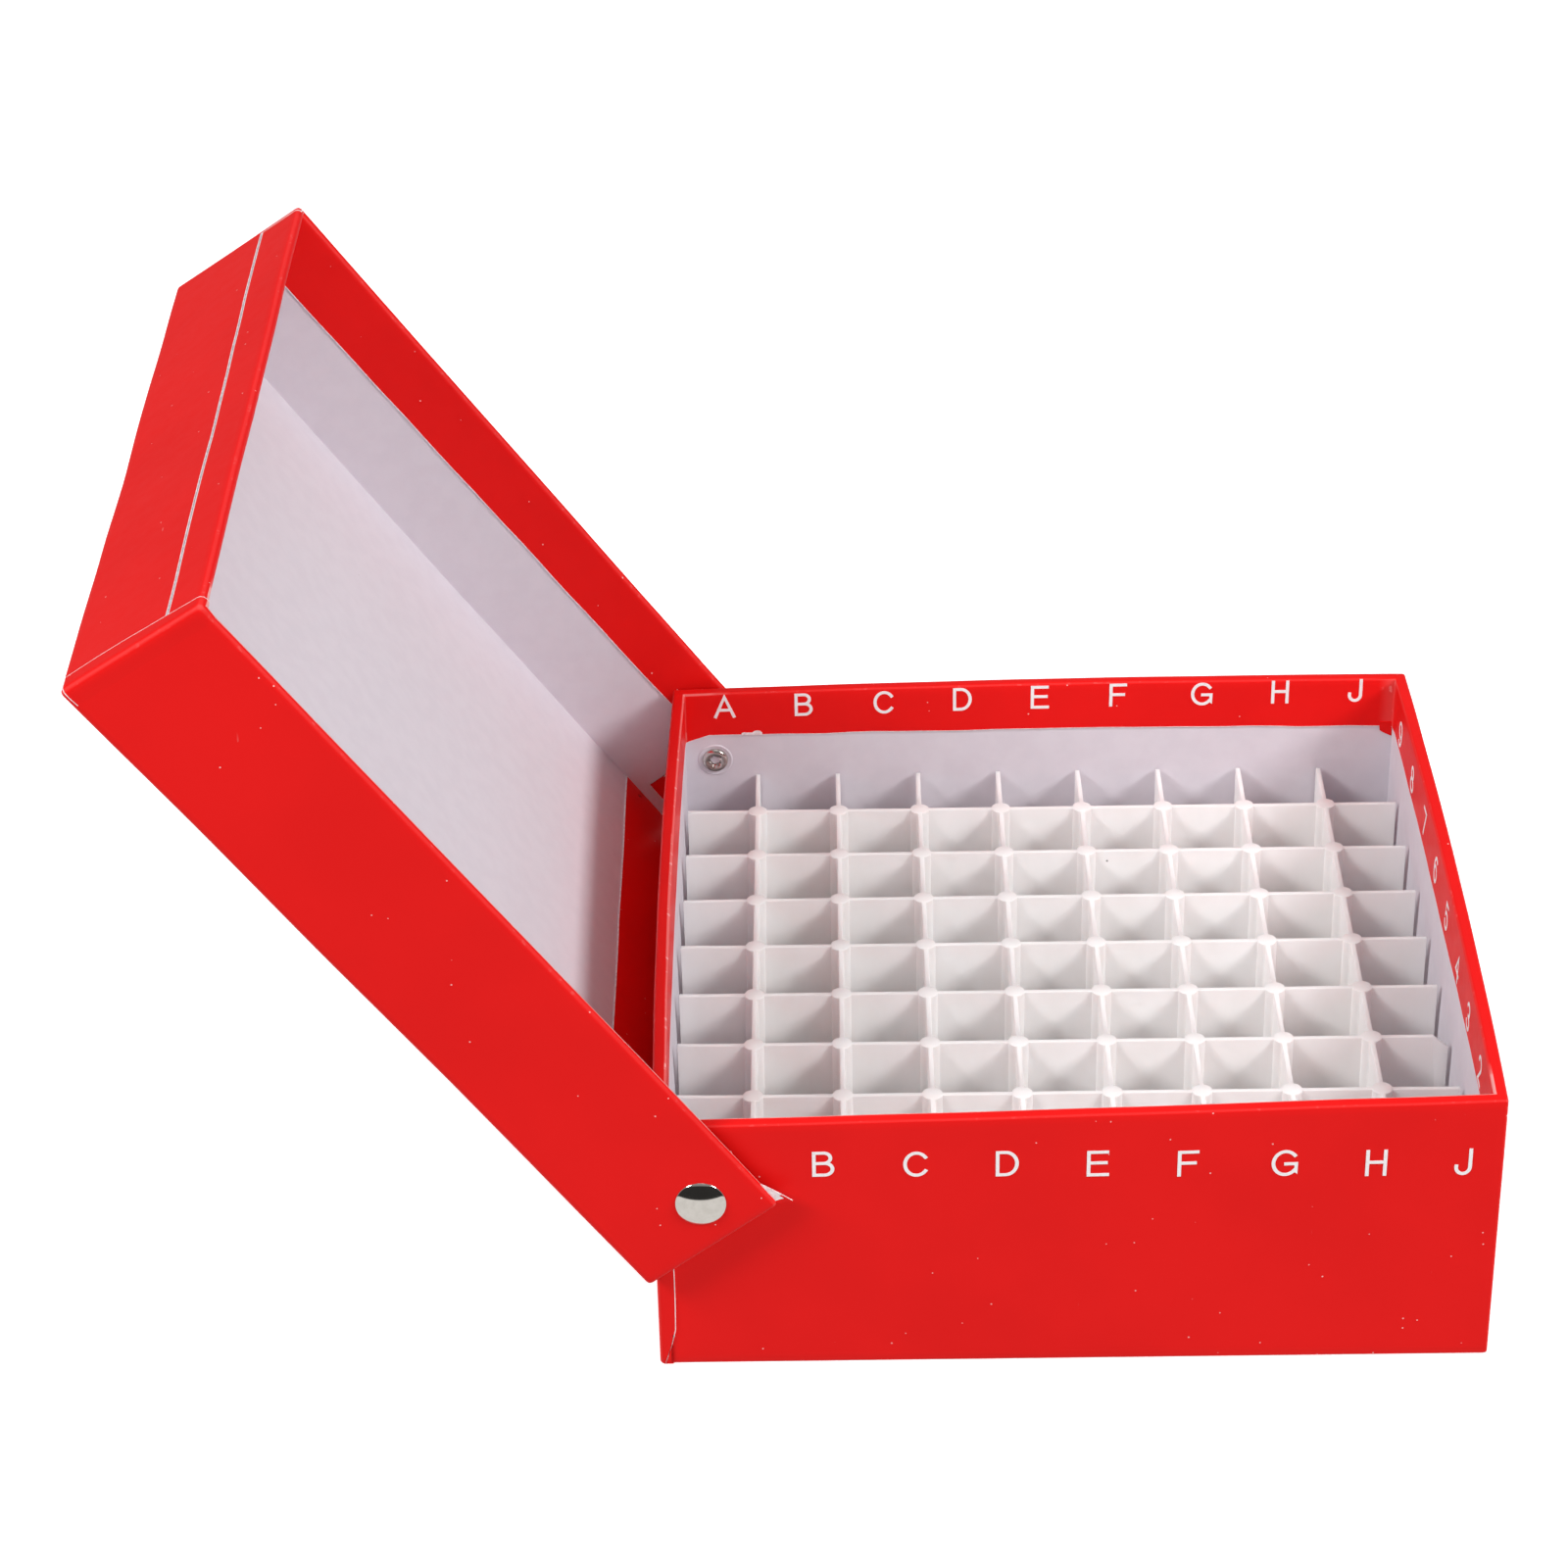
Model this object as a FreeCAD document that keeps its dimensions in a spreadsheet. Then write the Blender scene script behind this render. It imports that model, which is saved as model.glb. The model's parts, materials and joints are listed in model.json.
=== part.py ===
"""Flip-lid cryogenic storage box: a wrapped board tray, a riveted lid and a loose moulded divider.

Frame, in millimetres: the origin is the centre of the tray's bottom face, +Z is up, the riveted
hinge end is at -X and the lid's free end closes at +X. The lid's pieces are drawn closed and then
turned about the rivets to the open stop, which is how the box rests.
"""
import FreeCAD, Part
import os

import Sketcher

DRIVING_SIZES = {
    # tray
    "box_length": 134.0,
    "box_width": 134.0,
    "rim_low": 47.8,
    "rim_high": 51.0,
    "tray_board": 1.7,
    "wrap_paper": 0.2,
    "corner_tape": 0.1,
    "tape_leg": 12.0,
    "tape_stop": 4.0,
    "tray_band": 9.4,
    "fold_radius": 0.4,
    # lid
    "lid_board": 1.2,
    "lid_depth": 26.1,
    "side_gap": 1.1,
    "end_gap": 1.3,
    "panel_reach": 15.0,
    "cheek_overhang": 0.6,
    "panel_overhang": 0.15,
    "lid_band": 10.0,
    "hinge_band": 13.0,
    "strip_height": 7.8,
    "strip_seam": 0.5,
    "tab_width": 3.8,
    "open_angle": 126.5,
    # rivets
    "rivet_inset": 7.4,
    "rivet_height": 34.7,
    "cap_diameter": 8.2,
    "cap_height": 1.5,
    "cap_round": 1.2,
    "flange_diameter": 7.0,
    "flange_height": 0.5,
    "shank_diameter": 3.6,
    "clinch_diameter": 4.8,
    "clinch_height": 0.7,
    "core_diameter": 2.0,
    "core_depth": 3.0,
    "running_gap": 0.06,
    "snug_gap": 0.02,
    "head_gap": 0.05,
    # divider
    "cell_pitch": 14.78,
    "cell_wall": 0.8,
    "post_width": 3.0,
    "divider_top": 31.75,
    "divider_play": 0.45,
}
CELLS_PER_SIDE = 9
POSTS_PER_SIDE = CELLS_PER_SIDE - 1
OCTAGON_SIDES = 8


class Size:
    """A length known both as a number and as the sheet expression that gives it."""

    def __init__(self, text, value):
        self.text = text
        self.value = value

    def combine(self, other, sign, value):
        return Size(f"({self.text} {sign} {as_size(other).text})", value)

    def __add__(self, other):
        return self.combine(other, "+", self.value + as_size(other).value)

    def __sub__(self, other):
        return self.combine(other, "-", self.value - as_size(other).value)

    def __mul__(self, other):
        return self.combine(other, "*", self.value * as_size(other).value)

    def __truediv__(self, other):
        return self.combine(other, "/", self.value / as_size(other).value)

    def __neg__(self):
        return Size(f"(0 - {self.text})", -self.value)


def as_size(number):
    """Wrap a plain number, so that it can stand beside a size."""
    if isinstance(number, Size):
        return number
    return Size(f"({number:.6g})", float(number))


document = FreeCAD.newDocument("cryogenic_storage_box")


def fill_sheet():
    """Write the driving sizes to the sheet and return them by name."""
    sheet = document.addObject("Spreadsheet::Sheet", "Sizes")
    sizes = {}
    for row, (alias, number) in enumerate(DRIVING_SIZES.items(), start=1):
        sheet.set(f"A{row}", alias)
        sheet.set(f"B{row}", str(number))
        sheet.setAlias(f"B{row}", alias)
        sizes[alias] = Size(f"Sizes.{alias}", number)
    document.recompute()
    return sizes


size = fill_sheet()
zero = as_size(0)

# ---------------------------------------------------------------- shared planes of the tray
half_length = size["box_length"] / 2
half_width = size["box_width"] / 2
paper = size["wrap_paper"]
tape = size["corner_tape"]
skin = paper + tape
tray_wall = size["tray_board"] + skin
cavity_half_length = half_length - tray_wall
cavity_half_width = half_width - tray_wall
floor_top = paper + size["tray_board"]
rim_low = size["rim_low"]
rim_high = size["rim_high"]

# ---------------------------------------------------------------- shared planes of the closed lid
axis_x = size["rivet_inset"] - half_length
axis_z = size["rivet_height"]
lid_wall = size["lid_board"] + skin
lid_inner_y = half_width + size["side_gap"] + paper
lid_outer_y = lid_inner_y + lid_wall
lid_inner_x = half_length + size["end_gap"] + paper
lid_outer_x = lid_inner_x + lid_wall
panel_inner_z = axis_z + size["panel_reach"] + paper
panel_outer_z = panel_inner_z + lid_wall
lid_rim_z = panel_outer_z - size["lid_depth"]
cheek_end_x = -half_length - size["cheek_overhang"]
panel_end_x = -half_length - size["panel_overhang"]
far_below = lid_rim_z - 20
far_left = cheek_end_x - 20
far_right = lid_outer_x + 20
far_above = panel_outer_z + 20


def bind(thing, path, value):
    """Drive one property of an object from the sheet."""
    thing.setExpression(path, value.text)


def new_body(label):
    body = document.addObject("PartDesign::Body", label)
    body.Label = label
    return body


def origin_plane(body, role):
    return next(item for item in body.Origin.OriginFeatures if item.Role == role)


def new_sketch(body, role, offset):
    """A sketch on one of the body's origin planes, moved along the plane's normal."""
    sketch = body.newObject("Sketcher::SketchObject", f"{body.Label}_outline")
    sketch.AttachmentSupport = (origin_plane(body, role), [""])
    sketch.MapMode = "FlatFace"
    sketch.AttachmentOffset = FreeCAD.Placement(FreeCAD.Vector(0, 0, offset.value), FreeCAD.Rotation())
    bind(sketch, "AttachmentOffset.Base.z", offset)
    return sketch


def hold_point(sketch, geometry, position, place):
    """Dimension one point of a sketch from the origin, along both directions."""
    for kind, coordinate in zip(("DistanceX", "DistanceY"), place):
        number = sketch.addConstraint(
            Sketcher.Constraint(kind, -1, 1, geometry, position, coordinate.value))
        bind(sketch, f"Constraints[{number}]", coordinate)


def draw_outline(sketch, corners):
    """Draw a closed polygon through corners given as pairs of sizes."""
    points = [FreeCAD.Vector(across.value, up.value, 0) for across, up in corners]
    for start, end in zip(points, points[1:] + points[:1]):
        sketch.addGeometry(Part.LineSegment(start, end))
    for index in range(len(points)):
        after = (index + 1) % len(points)
        sketch.addConstraint(Sketcher.Constraint("Coincident", index, 2, after, 1))
        hold_point(sketch, index, 1, corners[index])


def extrude(body, operation, sketch, thickness):
    """Pad or pocket a sketch by the same amount to both sides of its plane."""
    feature = body.newObject(f"PartDesign::{operation}", f"{body.Label}_{operation.lower()}")
    feature.Profile = sketch
    feature.SideType = "Symmetric"
    feature.Length = thickness.value
    bind(feature, "Length", thickness)
    sketch.Visibility = False
    return feature


def across_width(body, operation, corners, low, high):
    """Extrude an X-Z outline along Y, from low to high."""
    middle = (low + high) / 2
    sketch = new_sketch(body, "XZ_Plane", -middle)
    draw_outline(sketch, corners)
    return extrude(body, operation, sketch, high - low)


def block(body, operation, x_span, y_span, z_span):
    """Add or remove a box given by its spans along the three axes."""
    (left, right), (front, back), (bottom, top) = x_span, y_span, z_span
    sketch = new_sketch(body, "XY_Plane", (bottom + top) / 2)
    draw_outline(sketch, [(left, front), (right, front), (right, back), (left, back)])
    return extrude(body, operation, sketch, top - bottom)


def disc(body, operation, radius, low, high):
    """Add or remove a cylinder about the rivet axis, from low to high along Y."""
    sketch = new_sketch(body, "XZ_Plane", -((low + high) / 2))
    centre = FreeCAD.Vector(axis_x.value, axis_z.value, 0)
    sketch.addGeometry(Part.Circle(centre, FreeCAD.Vector(0, 0, 1), radius.value))
    hold_point(sketch, 0, 3, (axis_x, axis_z))
    number = sketch.addConstraint(Sketcher.Constraint("Radius", 0, radius.value))
    bind(sketch, f"Constraints[{number}]", radius)
    return extrude(body, operation, sketch, high - low)


def both_ways(half):
    """A span that is centred on the origin."""
    return -half, half


def on_side(side, near, far):
    """A span from near to far on the back (side 1) or the front (side -1)."""
    return (near, far) if side > 0 else (-far, -near)


def mirror(body, features, role):
    """Repeat features on the other side of one of the body's origin planes."""
    copy = body.newObject("PartDesign::Mirrored", f"{body.Label}_mirrored")
    copy.Originals = features
    copy.MirrorPlane = (origin_plane(body, role), [""])
    body.Tip = copy
    return copy


def round_edges(body, feature, wanted):
    """Round the edges of a feature whose ends all pass the test."""
    document.recompute()
    names = [f"Edge{number}" for number, edge in enumerate(feature.Shape.Edges, start=1)
             if all(wanted(vertex.Point) for vertex in edge.Vertexes)]
    rounding = body.newObject("PartDesign::Fillet", f"{body.Label}_fold")
    rounding.Base = (feature, names)
    rounding.Radius = size["fold_radius"].value
    bind(rounding, "Radius", size["fold_radius"])
    return rounding


def tray_outline(left, right, foot, below_rim):
    """An X-Z outline from left to right that stops a set distance below the tray's sloping rim."""
    slope = (rim_high - rim_low) / size["box_length"]
    middle = (rim_low + rim_high) / 2 - below_rim
    return [(left, foot), (right, foot), (right, middle + slope * right), (left, middle + slope * left)]


# ---------------------------------------------------------------- tray

def make_floor_board():
    body = new_body("base_floor_board")
    block(body, "Pad", both_ways(cavity_half_length), both_ways(cavity_half_width), (paper, floor_top))
    return body


def make_long_board(label, side):
    """The tray's front or back board, which reaches over the ends of the other two."""
    body = new_body(label)
    low, high = on_side(side, cavity_half_width, half_width - skin)
    across_width(body, "Pad", tray_outline(*both_ways(half_length - skin), paper, paper), low, high)
    disc(body, "Pocket", size["shank_diameter"] / 2 + size["snug_gap"], low - 1, high + 1)
    return body


def make_short_board(label, side):
    """The tray's hinge-end or free-end board, between the long boards."""
    body = new_body(label)
    ends = on_side(side, cavity_half_length, half_length - skin)
    across_width(body, "Pad", tray_outline(*ends, paper, paper), *both_ways(cavity_half_width))
    return body


def make_base_tapes():
    """Four thin paper stays that hold the tray's corners under the wrap, two of them riveted through."""
    body = new_body("base_corner_tapes")
    outer_x, outer_y = half_length - paper, half_width - paper
    inner_x, inner_y = outer_x - tape, outer_y - tape
    start_x, start_y = outer_x - size["tape_leg"], outer_y - size["tape_leg"]
    foot, top = paper, rim_low - size["tape_stop"]
    sketch = new_sketch(body, "XY_Plane", (foot + top) / 2)
    draw_outline(sketch, [(start_x, inner_y), (inner_x, inner_y), (inner_x, start_y),
                          (outer_x, start_y), (outer_x, outer_y), (start_x, outer_y)])
    corner = extrude(body, "Pad", sketch, top - foot)
    all_four = body.newObject("PartDesign::MultiTransform", "base_corner_tapes_all_four")
    all_four.Originals = [corner]
    steps = []
    for role in ("YZ_Plane", "XZ_Plane"):
        step = body.newObject("PartDesign::Mirrored", f"base_corner_tapes_{role.lower()}")
        step.MirrorPlane = (origin_plane(body, role), [""])
        steps.append(step)
    all_four.Transformations = steps
    body.Tip = all_four
    disc(body, "Pocket", size["shank_diameter"] / 2 + size["snug_gap"], -half_width, half_width)
    return body


def make_base_wrap():
    """Printed paper over the tray's walls, folded over the rim and turned in as a band."""
    body = new_body("base_wrap_sides")
    outside = across_width(body, "Pad", tray_outline(*both_ways(half_length), paper, zero),
                           *both_ways(half_width))
    round_edges(body, outside, lambda point: point.z > rim_low.value - 1)
    across_width(body, "Pocket", tray_outline(*both_ways(half_length - paper), paper - 1, size["tray_band"]),
                 *both_ways(half_width - paper))
    block(body, "Pocket", both_ways(cavity_half_length - paper), both_ways(cavity_half_width - paper),
          (paper, rim_high + 5))
    long_board = tray_outline(*both_ways(half_length - paper), paper, paper)
    for side in (-1, 1):
        short_board = tray_outline(*on_side(side, cavity_half_length, half_length - paper), paper, paper)
        across_width(body, "Pocket", long_board, *on_side(side, cavity_half_width, half_width - paper))
        across_width(body, "Pocket", short_board, *both_ways(half_width - paper))
    disc(body, "Pocket", size["shank_diameter"] / 2 + size["snug_gap"], -half_width - 1, half_width + 1)
    return body


def make_base_bottom():
    body = new_body("base_wrap_bottom")
    block(body, "Pad", both_ways(half_length), both_ways(half_width), (zero, paper))
    return body


# ---------------------------------------------------------------- lid, drawn closed

def make_lid_panel():
    body = new_body("lid_top_board")
    block(body, "Pad", (panel_end_x + paper, lid_inner_x), both_ways(lid_inner_y),
          (panel_inner_z, panel_outer_z - skin))
    return body


def make_cheek(label, side):
    """One of the lid's two side boards, which turns on a rivet."""
    body = new_body(label)
    low, high = on_side(side, lid_inner_y, lid_outer_y - skin)
    block(body, "Pad", (cheek_end_x + paper, lid_outer_x - skin), (low, high),
          (lid_rim_z + paper, panel_outer_z - skin))
    disc(body, "Pocket", size["shank_diameter"] / 2 + size["running_gap"], low - 1, high + 1)
    return body


def make_lid_end():
    body = new_body("lid_end_board")
    block(body, "Pad", (lid_inner_x, lid_outer_x - skin), both_ways(lid_inner_y),
          (lid_rim_z + paper, panel_outer_z - skin))
    return body


def make_lid_tapes():
    """Two thin paper stays round the lid's corners, under its wrap."""
    body = new_body("lid_corner_tapes")
    outer_x, outer_y = lid_outer_x - paper, lid_outer_y - paper
    inner_x, inner_y = outer_x - tape, outer_y - tape
    start_x, start_y = outer_x - size["tape_leg"], outer_y - size["tape_leg"]
    foot, top = lid_rim_z + size["tape_stop"], panel_outer_z - skin
    sketch = new_sketch(body, "XY_Plane", (foot + top) / 2)
    draw_outline(sketch, [(start_x, inner_y), (inner_x, inner_y), (inner_x, start_y),
                          (outer_x, start_y), (outer_x, outer_y), (start_x, outer_y)])
    corner = extrude(body, "Pad", sketch, top - foot)
    mirror(body, [corner], "XZ_Plane")
    return body


def make_lid_wrap():
    """Red paper over the lid, folded over its rims and turned in along every free edge."""
    body = new_body("lid_wrap")
    outside = block(body, "Pad", (cheek_end_x, lid_outer_x), both_ways(lid_outer_y),
                    (lid_rim_z, panel_outer_z))
    round_edges(body, outside, lambda point: point.x > 0 or point.z > panel_outer_z.value - 1)
    block(body, "Pocket", (far_left, lid_inner_x - paper), both_ways(lid_inner_y - paper),
          (far_below, panel_inner_z - paper))
    block(body, "Pocket", (cheek_end_x + size["hinge_band"], lid_inner_x), both_ways(lid_inner_y),
          (lid_rim_z + size["lid_band"], panel_inner_z))
    block(body, "Pocket", (far_left, panel_end_x), both_ways(lid_inner_y - paper),
          (panel_inner_z - paper * 2, far_above))
    block(body, "Pocket", (panel_end_x + paper, lid_outer_x - paper), both_ways(lid_inner_y),
          (panel_inner_z, panel_outer_z - paper))
    block(body, "Pocket", (lid_inner_x, lid_outer_x - paper), both_ways(lid_inner_y),
          (lid_rim_z + paper, panel_outer_z - paper))
    for side in (-1, 1):
        block(body, "Pocket", (cheek_end_x + paper, lid_outer_x - paper),
              on_side(side, lid_inner_y, lid_outer_y - paper), (lid_rim_z + paper, panel_outer_z - paper))
    seam_top = lid_rim_z + size["strip_height"] + size["strip_seam"]
    block(body, "Pocket", (lid_inner_x - paper * 2, far_right), both_ways(lid_outer_y - size["tab_width"]),
          (far_below, seam_top))
    block(body, "Pocket", (lid_inner_x - paper * 2, lid_inner_x),
          both_ways(lid_outer_y - size["tab_width"]), (far_below, lid_rim_z + size["lid_band"] + 1))
    disc(body, "Pocket", size["shank_diameter"] / 2 + size["running_gap"],
         -lid_outer_y - 1, lid_outer_y + 1)
    return body


def make_end_strip():
    """A separate strip that binds the rim of the lid's end wall, outside, over and inside."""
    body = new_body("lid_end_strip")
    outer, inner = lid_outer_x, lid_inner_x - paper
    foot, outer_top = lid_rim_z, lid_rim_z + size["strip_height"]
    inner_top = lid_rim_z + size["lid_band"]
    corners = [(inner, foot), (outer, foot), (outer, outer_top), (outer - paper, outer_top),
               (outer - paper, foot + paper), (inner + paper, foot + paper),
               (inner + paper, inner_top), (inner, inner_top)]
    across_width(body, "Pad", corners, *both_ways(lid_outer_y - size["tab_width"]))
    return body


# ---------------------------------------------------------------- rivets

head_face = lid_outer_y + size["head_gap"]


def make_rivet_caps():
    """Two domed caps, each pressed over the flange of a tubular rivet."""
    body = new_body("hinge_rivet_caps")
    top = head_face + size["cap_height"]
    dome = disc(body, "Pad", size["cap_diameter"] / 2, -top, -head_face)
    document.recompute()
    crown = [f"Edge{number}" for number, edge in enumerate(dome.Shape.Edges, start=1)
             if all(vertex.Point.y < -top.value + 0.01 for vertex in edge.Vertexes)]
    rounding = body.newObject("PartDesign::Fillet", "hinge_rivet_caps_dome")
    rounding.Base = (dome, crown)
    rounding.Radius = size["cap_round"].value
    bind(rounding, "Radius", size["cap_round"])
    seat = disc(body, "Pocket", size["flange_diameter"] / 2 + size["snug_gap"],
                -head_face - size["flange_height"], -head_face + 1)
    mirror(body, [dome, rounding, seat], "XZ_Plane")
    return body


def make_rivet_shanks():
    """Two tubular rivets: a flange under the cap, a shank through both walls, a clinched end."""
    body = new_body("hinge_rivet_shanks")
    flange_top = head_face + size["flange_height"]
    flange = disc(body, "Pad", size["flange_diameter"] / 2, -flange_top, -head_face)
    shank = disc(body, "Pad", size["shank_diameter"] / 2, -head_face,
                 -(cavity_half_width - size["clinch_height"]))
    clinch = disc(body, "Pad", size["clinch_diameter"] / 2, -cavity_half_width,
                  -(cavity_half_width - size["clinch_height"]))
    core_end = cavity_half_width - size["clinch_height"]
    core = disc(body, "Pocket", size["core_diameter"] / 2, -(core_end + size["core_depth"]),
                -(core_end - 1))
    mirror(body, [flange, shank, clinch, core], "XZ_Plane")
    return body


# ---------------------------------------------------------------- divider

first_post = -(size["cell_pitch"] * (POSTS_PER_SIDE - 1) / 2)
divider_half = cavity_half_length - size["divider_play"]
post_half = size["post_width"] / 2
wall_half = size["cell_wall"] / 2
divider_height = (floor_top, size["divider_top"])


def repeat(body, features, counts):
    """Repeat features along X and Y at the cell pitch, counts[0] by counts[1] times."""
    grid = body.newObject("PartDesign::MultiTransform", f"{body.Label}_repeat")
    grid.Originals = features
    steps = []
    for role, count in zip(("X_Axis", "Y_Axis"), counts):
        if count < 2:
            continue
        step = body.newObject("PartDesign::LinearPattern", f"{body.Label}_{role.lower()}")
        step.Direction = (origin_plane(body, role), [""])
        reach = size["cell_pitch"] * (count - 1)
        step.Length = reach.value
        bind(step, "Length", reach)
        step.Occurrences = count
        steps.append(step)
    grid.Transformations = steps
    body.Tip = grid
    return grid


def make_divider_posts():
    """An eight-sided post at every crossing of the divider's walls."""
    body = new_body("divider_posts")
    corner = size["post_width"] * (2 ** 0.5 - 1) / 2
    ring = [(post_half, -corner), (post_half, corner), (corner, post_half), (-corner, post_half),
            (-post_half, corner), (-post_half, -corner), (-corner, -post_half), (corner, -post_half)]
    sketch = new_sketch(body, "XY_Plane", (divider_height[0] + divider_height[1]) / 2)
    draw_outline(sketch, [(first_post + across, first_post + along) for across, along in ring])
    post = extrude(body, "Pad", sketch, divider_height[1] - divider_height[0])
    repeat(body, [post], (POSTS_PER_SIDE, POSTS_PER_SIDE))
    return body


def make_divider_walls(label, lengthwise):
    """The divider's walls along X or along Y, as one straight web between each pair of posts."""
    body = new_body(label)
    thin = (first_post - wall_half, first_post + wall_half)
    inner = (first_post + post_half, first_post + size["cell_pitch"] - post_half)
    outer_low = (-divider_half, first_post - post_half)
    outer_high = (-first_post + post_half, divider_half)
    for run, count in ((inner, POSTS_PER_SIDE - 1), (outer_low, 1), (outer_high, 1)):
        spans = (run, thin) if lengthwise else (thin, run)
        counts = (count, POSTS_PER_SIDE) if lengthwise else (POSTS_PER_SIDE, count)
        web = block(body, "Pad", *spans, divider_height)
        repeat(body, [web], counts)
    return body


# ---------------------------------------------------------------- assembly

tray_pieces = [
    make_floor_board(),
    make_long_board("base_front_board", -1),
    make_long_board("base_back_board", 1),
    make_short_board("base_hinge_board", -1),
    make_short_board("base_end_board", 1),
    make_base_tapes(),
    make_base_wrap(),
    make_base_bottom(),
    make_rivet_caps(),
    make_rivet_shanks(),
]
lid_pieces = [
    make_lid_panel(),
    make_cheek("lid_front_board", -1),
    make_cheek("lid_back_board", 1),
    make_lid_end(),
    make_lid_tapes(),
    make_lid_wrap(),
    make_end_strip(),
]
divider_pieces = [
    make_divider_posts(),
    make_divider_walls("divider_long_walls", True),
    make_divider_walls("divider_cross_walls", False),
]

hinge_centre = FreeCAD.Vector(axis_x.value, 0, axis_z.value)
open_turn = FreeCAD.Rotation(FreeCAD.Vector(0, -1, 0), size["open_angle"].value)
for piece in lid_pieces:
    piece.Placement = FreeCAD.Placement(FreeCAD.Vector(0, 0, 0), open_turn, hinge_centre)
document.recompute()

pieces = tray_pieces + lid_pieces + divider_pieces
for item in document.Objects:
    if "Invalid" in item.State or "Error" in item.State:
        raise RuntimeError(f"{item.Label} failed to build: {item.State}")
for piece in pieces:
    if piece.Shape.isNull() or not piece.Shape.isValid():
        raise RuntimeError(f"{piece.Label} has no valid shape")

os.makedirs("parts", exist_ok=True)
for piece in pieces:
    piece.Shape.exportStep(f"parts/{piece.Label}.step")
    print(f"{piece.Label}: {len(piece.Shape.Solids)} solids, {piece.Shape.Volume / 1000:.2f} cm3")
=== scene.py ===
"""Flip-lid cryogenic storage box: the looks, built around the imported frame.

Shapes are worked out in millimetres. The tray is drawn upright and the lid is drawn closed, both with
flat walls; each sub-assembly's settle method then gives a point its real place, with the bowed walls and
the sloping rim of used board, and turns the lid open about its rivets.
"""
import json
import logging
import math
from dataclasses import dataclass, field
from enum import Enum
from typing import Callable, Dict, List, Optional, Sequence, Tuple, Union

import bmesh
import bpy
from mathutils import Matrix, Vector, noise


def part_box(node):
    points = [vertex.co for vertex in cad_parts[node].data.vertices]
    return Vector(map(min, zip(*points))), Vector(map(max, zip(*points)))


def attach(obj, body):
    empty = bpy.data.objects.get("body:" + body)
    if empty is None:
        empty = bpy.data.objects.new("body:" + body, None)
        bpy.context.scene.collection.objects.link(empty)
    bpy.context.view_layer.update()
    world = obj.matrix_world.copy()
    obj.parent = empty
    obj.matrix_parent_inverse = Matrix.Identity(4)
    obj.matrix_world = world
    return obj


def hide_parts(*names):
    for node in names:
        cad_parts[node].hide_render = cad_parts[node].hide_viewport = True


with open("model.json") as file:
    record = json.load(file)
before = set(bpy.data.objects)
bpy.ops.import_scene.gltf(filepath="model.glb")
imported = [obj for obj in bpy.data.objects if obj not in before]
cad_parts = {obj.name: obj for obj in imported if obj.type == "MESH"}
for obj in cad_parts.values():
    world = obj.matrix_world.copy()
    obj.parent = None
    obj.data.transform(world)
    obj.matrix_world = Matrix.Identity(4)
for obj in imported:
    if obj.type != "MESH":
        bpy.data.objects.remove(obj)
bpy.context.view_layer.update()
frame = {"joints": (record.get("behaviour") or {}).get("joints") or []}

MM = 0.001
TINY = 1e-6
# Past this distance from the middle a point is on a wall, in millimetres.
NEAR_WALL = 60.0
# Vector noise is drawn from the clock unless it is seeded.
WANDER_SEED = 7
# Sockets of a Mix node that blends colours.
MIX_FACTOR, MIX_FIRST, MIX_SECOND, MIX_RESULT = 0, 6, 7, 2
log = logging.getLogger("storage_box")

Colour = Tuple[float, float, float]
Place = Callable[[Vector], Vector]
Chooser = Callable[[Vector, Vector], bool]


# ---------------------------------------------------------------- shader graph

class Signal:
    """A number that varies over a surface: one socket, with arithmetic that adds Math nodes."""

    def __init__(self, graph: "Graph", socket: bpy.types.NodeSocket) -> None:
        """Hold the socket and the graph that it belongs to."""
        self.graph = graph
        self.socket = socket

    def _math(self, operation: str, first: "Number", second: "Number" = 0.0) -> "Signal":
        """Add one Math node.

        Args:
            operation: the node's operation.
            first: its first operand.
            second: its second operand.

        Returns:
            The node's result.
        """
        node = self.graph.add("ShaderNodeMath", {"operation": operation}, {0: first, 1: second})
        return Signal(self.graph, node.outputs[0])

    def __add__(self, other: "Number") -> "Signal":
        """Return self + other."""
        return self._math("ADD", self, other)

    def __radd__(self, other: "Number") -> "Signal":
        """Return other + self."""
        return self._math("ADD", other, self)

    def __sub__(self, other: "Number") -> "Signal":
        """Return self - other."""
        return self._math("SUBTRACT", self, other)

    def __rsub__(self, other: "Number") -> "Signal":
        """Return other - self."""
        return self._math("SUBTRACT", other, self)

    def __mul__(self, other: "Number") -> "Signal":
        """Return self * other."""
        return self._math("MULTIPLY", self, other)

    def __rmul__(self, other: "Number") -> "Signal":
        """Return other * self."""
        return self._math("MULTIPLY", other, self)

    def __gt__(self, other: "Number") -> "Signal":
        """Return 1 where self is above other, else 0."""
        return self._math("GREATER_THAN", self, other)

    def __lt__(self, other: "Number") -> "Signal":
        """Return 1 where self is below other, else 0."""
        return self._math("LESS_THAN", self, other)

    def ramp(self, low: float, high: float) -> "Signal":
        """Rise smoothly from 0 at low to 1 at high.

        Args:
            low: the value that gives 0.
            high: the value that gives 1.

        Returns:
            The eased value.
        """
        node = self.graph.add("ShaderNodeMapRange", {"interpolation_type": "SMOOTHSTEP"},
                              {"Value": self, "From Min": low, "From Max": high})
        return Signal(self.graph, node.outputs["Result"])


Number = Union[float, Signal]
Input = Union[float, Colour, Signal, bpy.types.NodeSocket]


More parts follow.
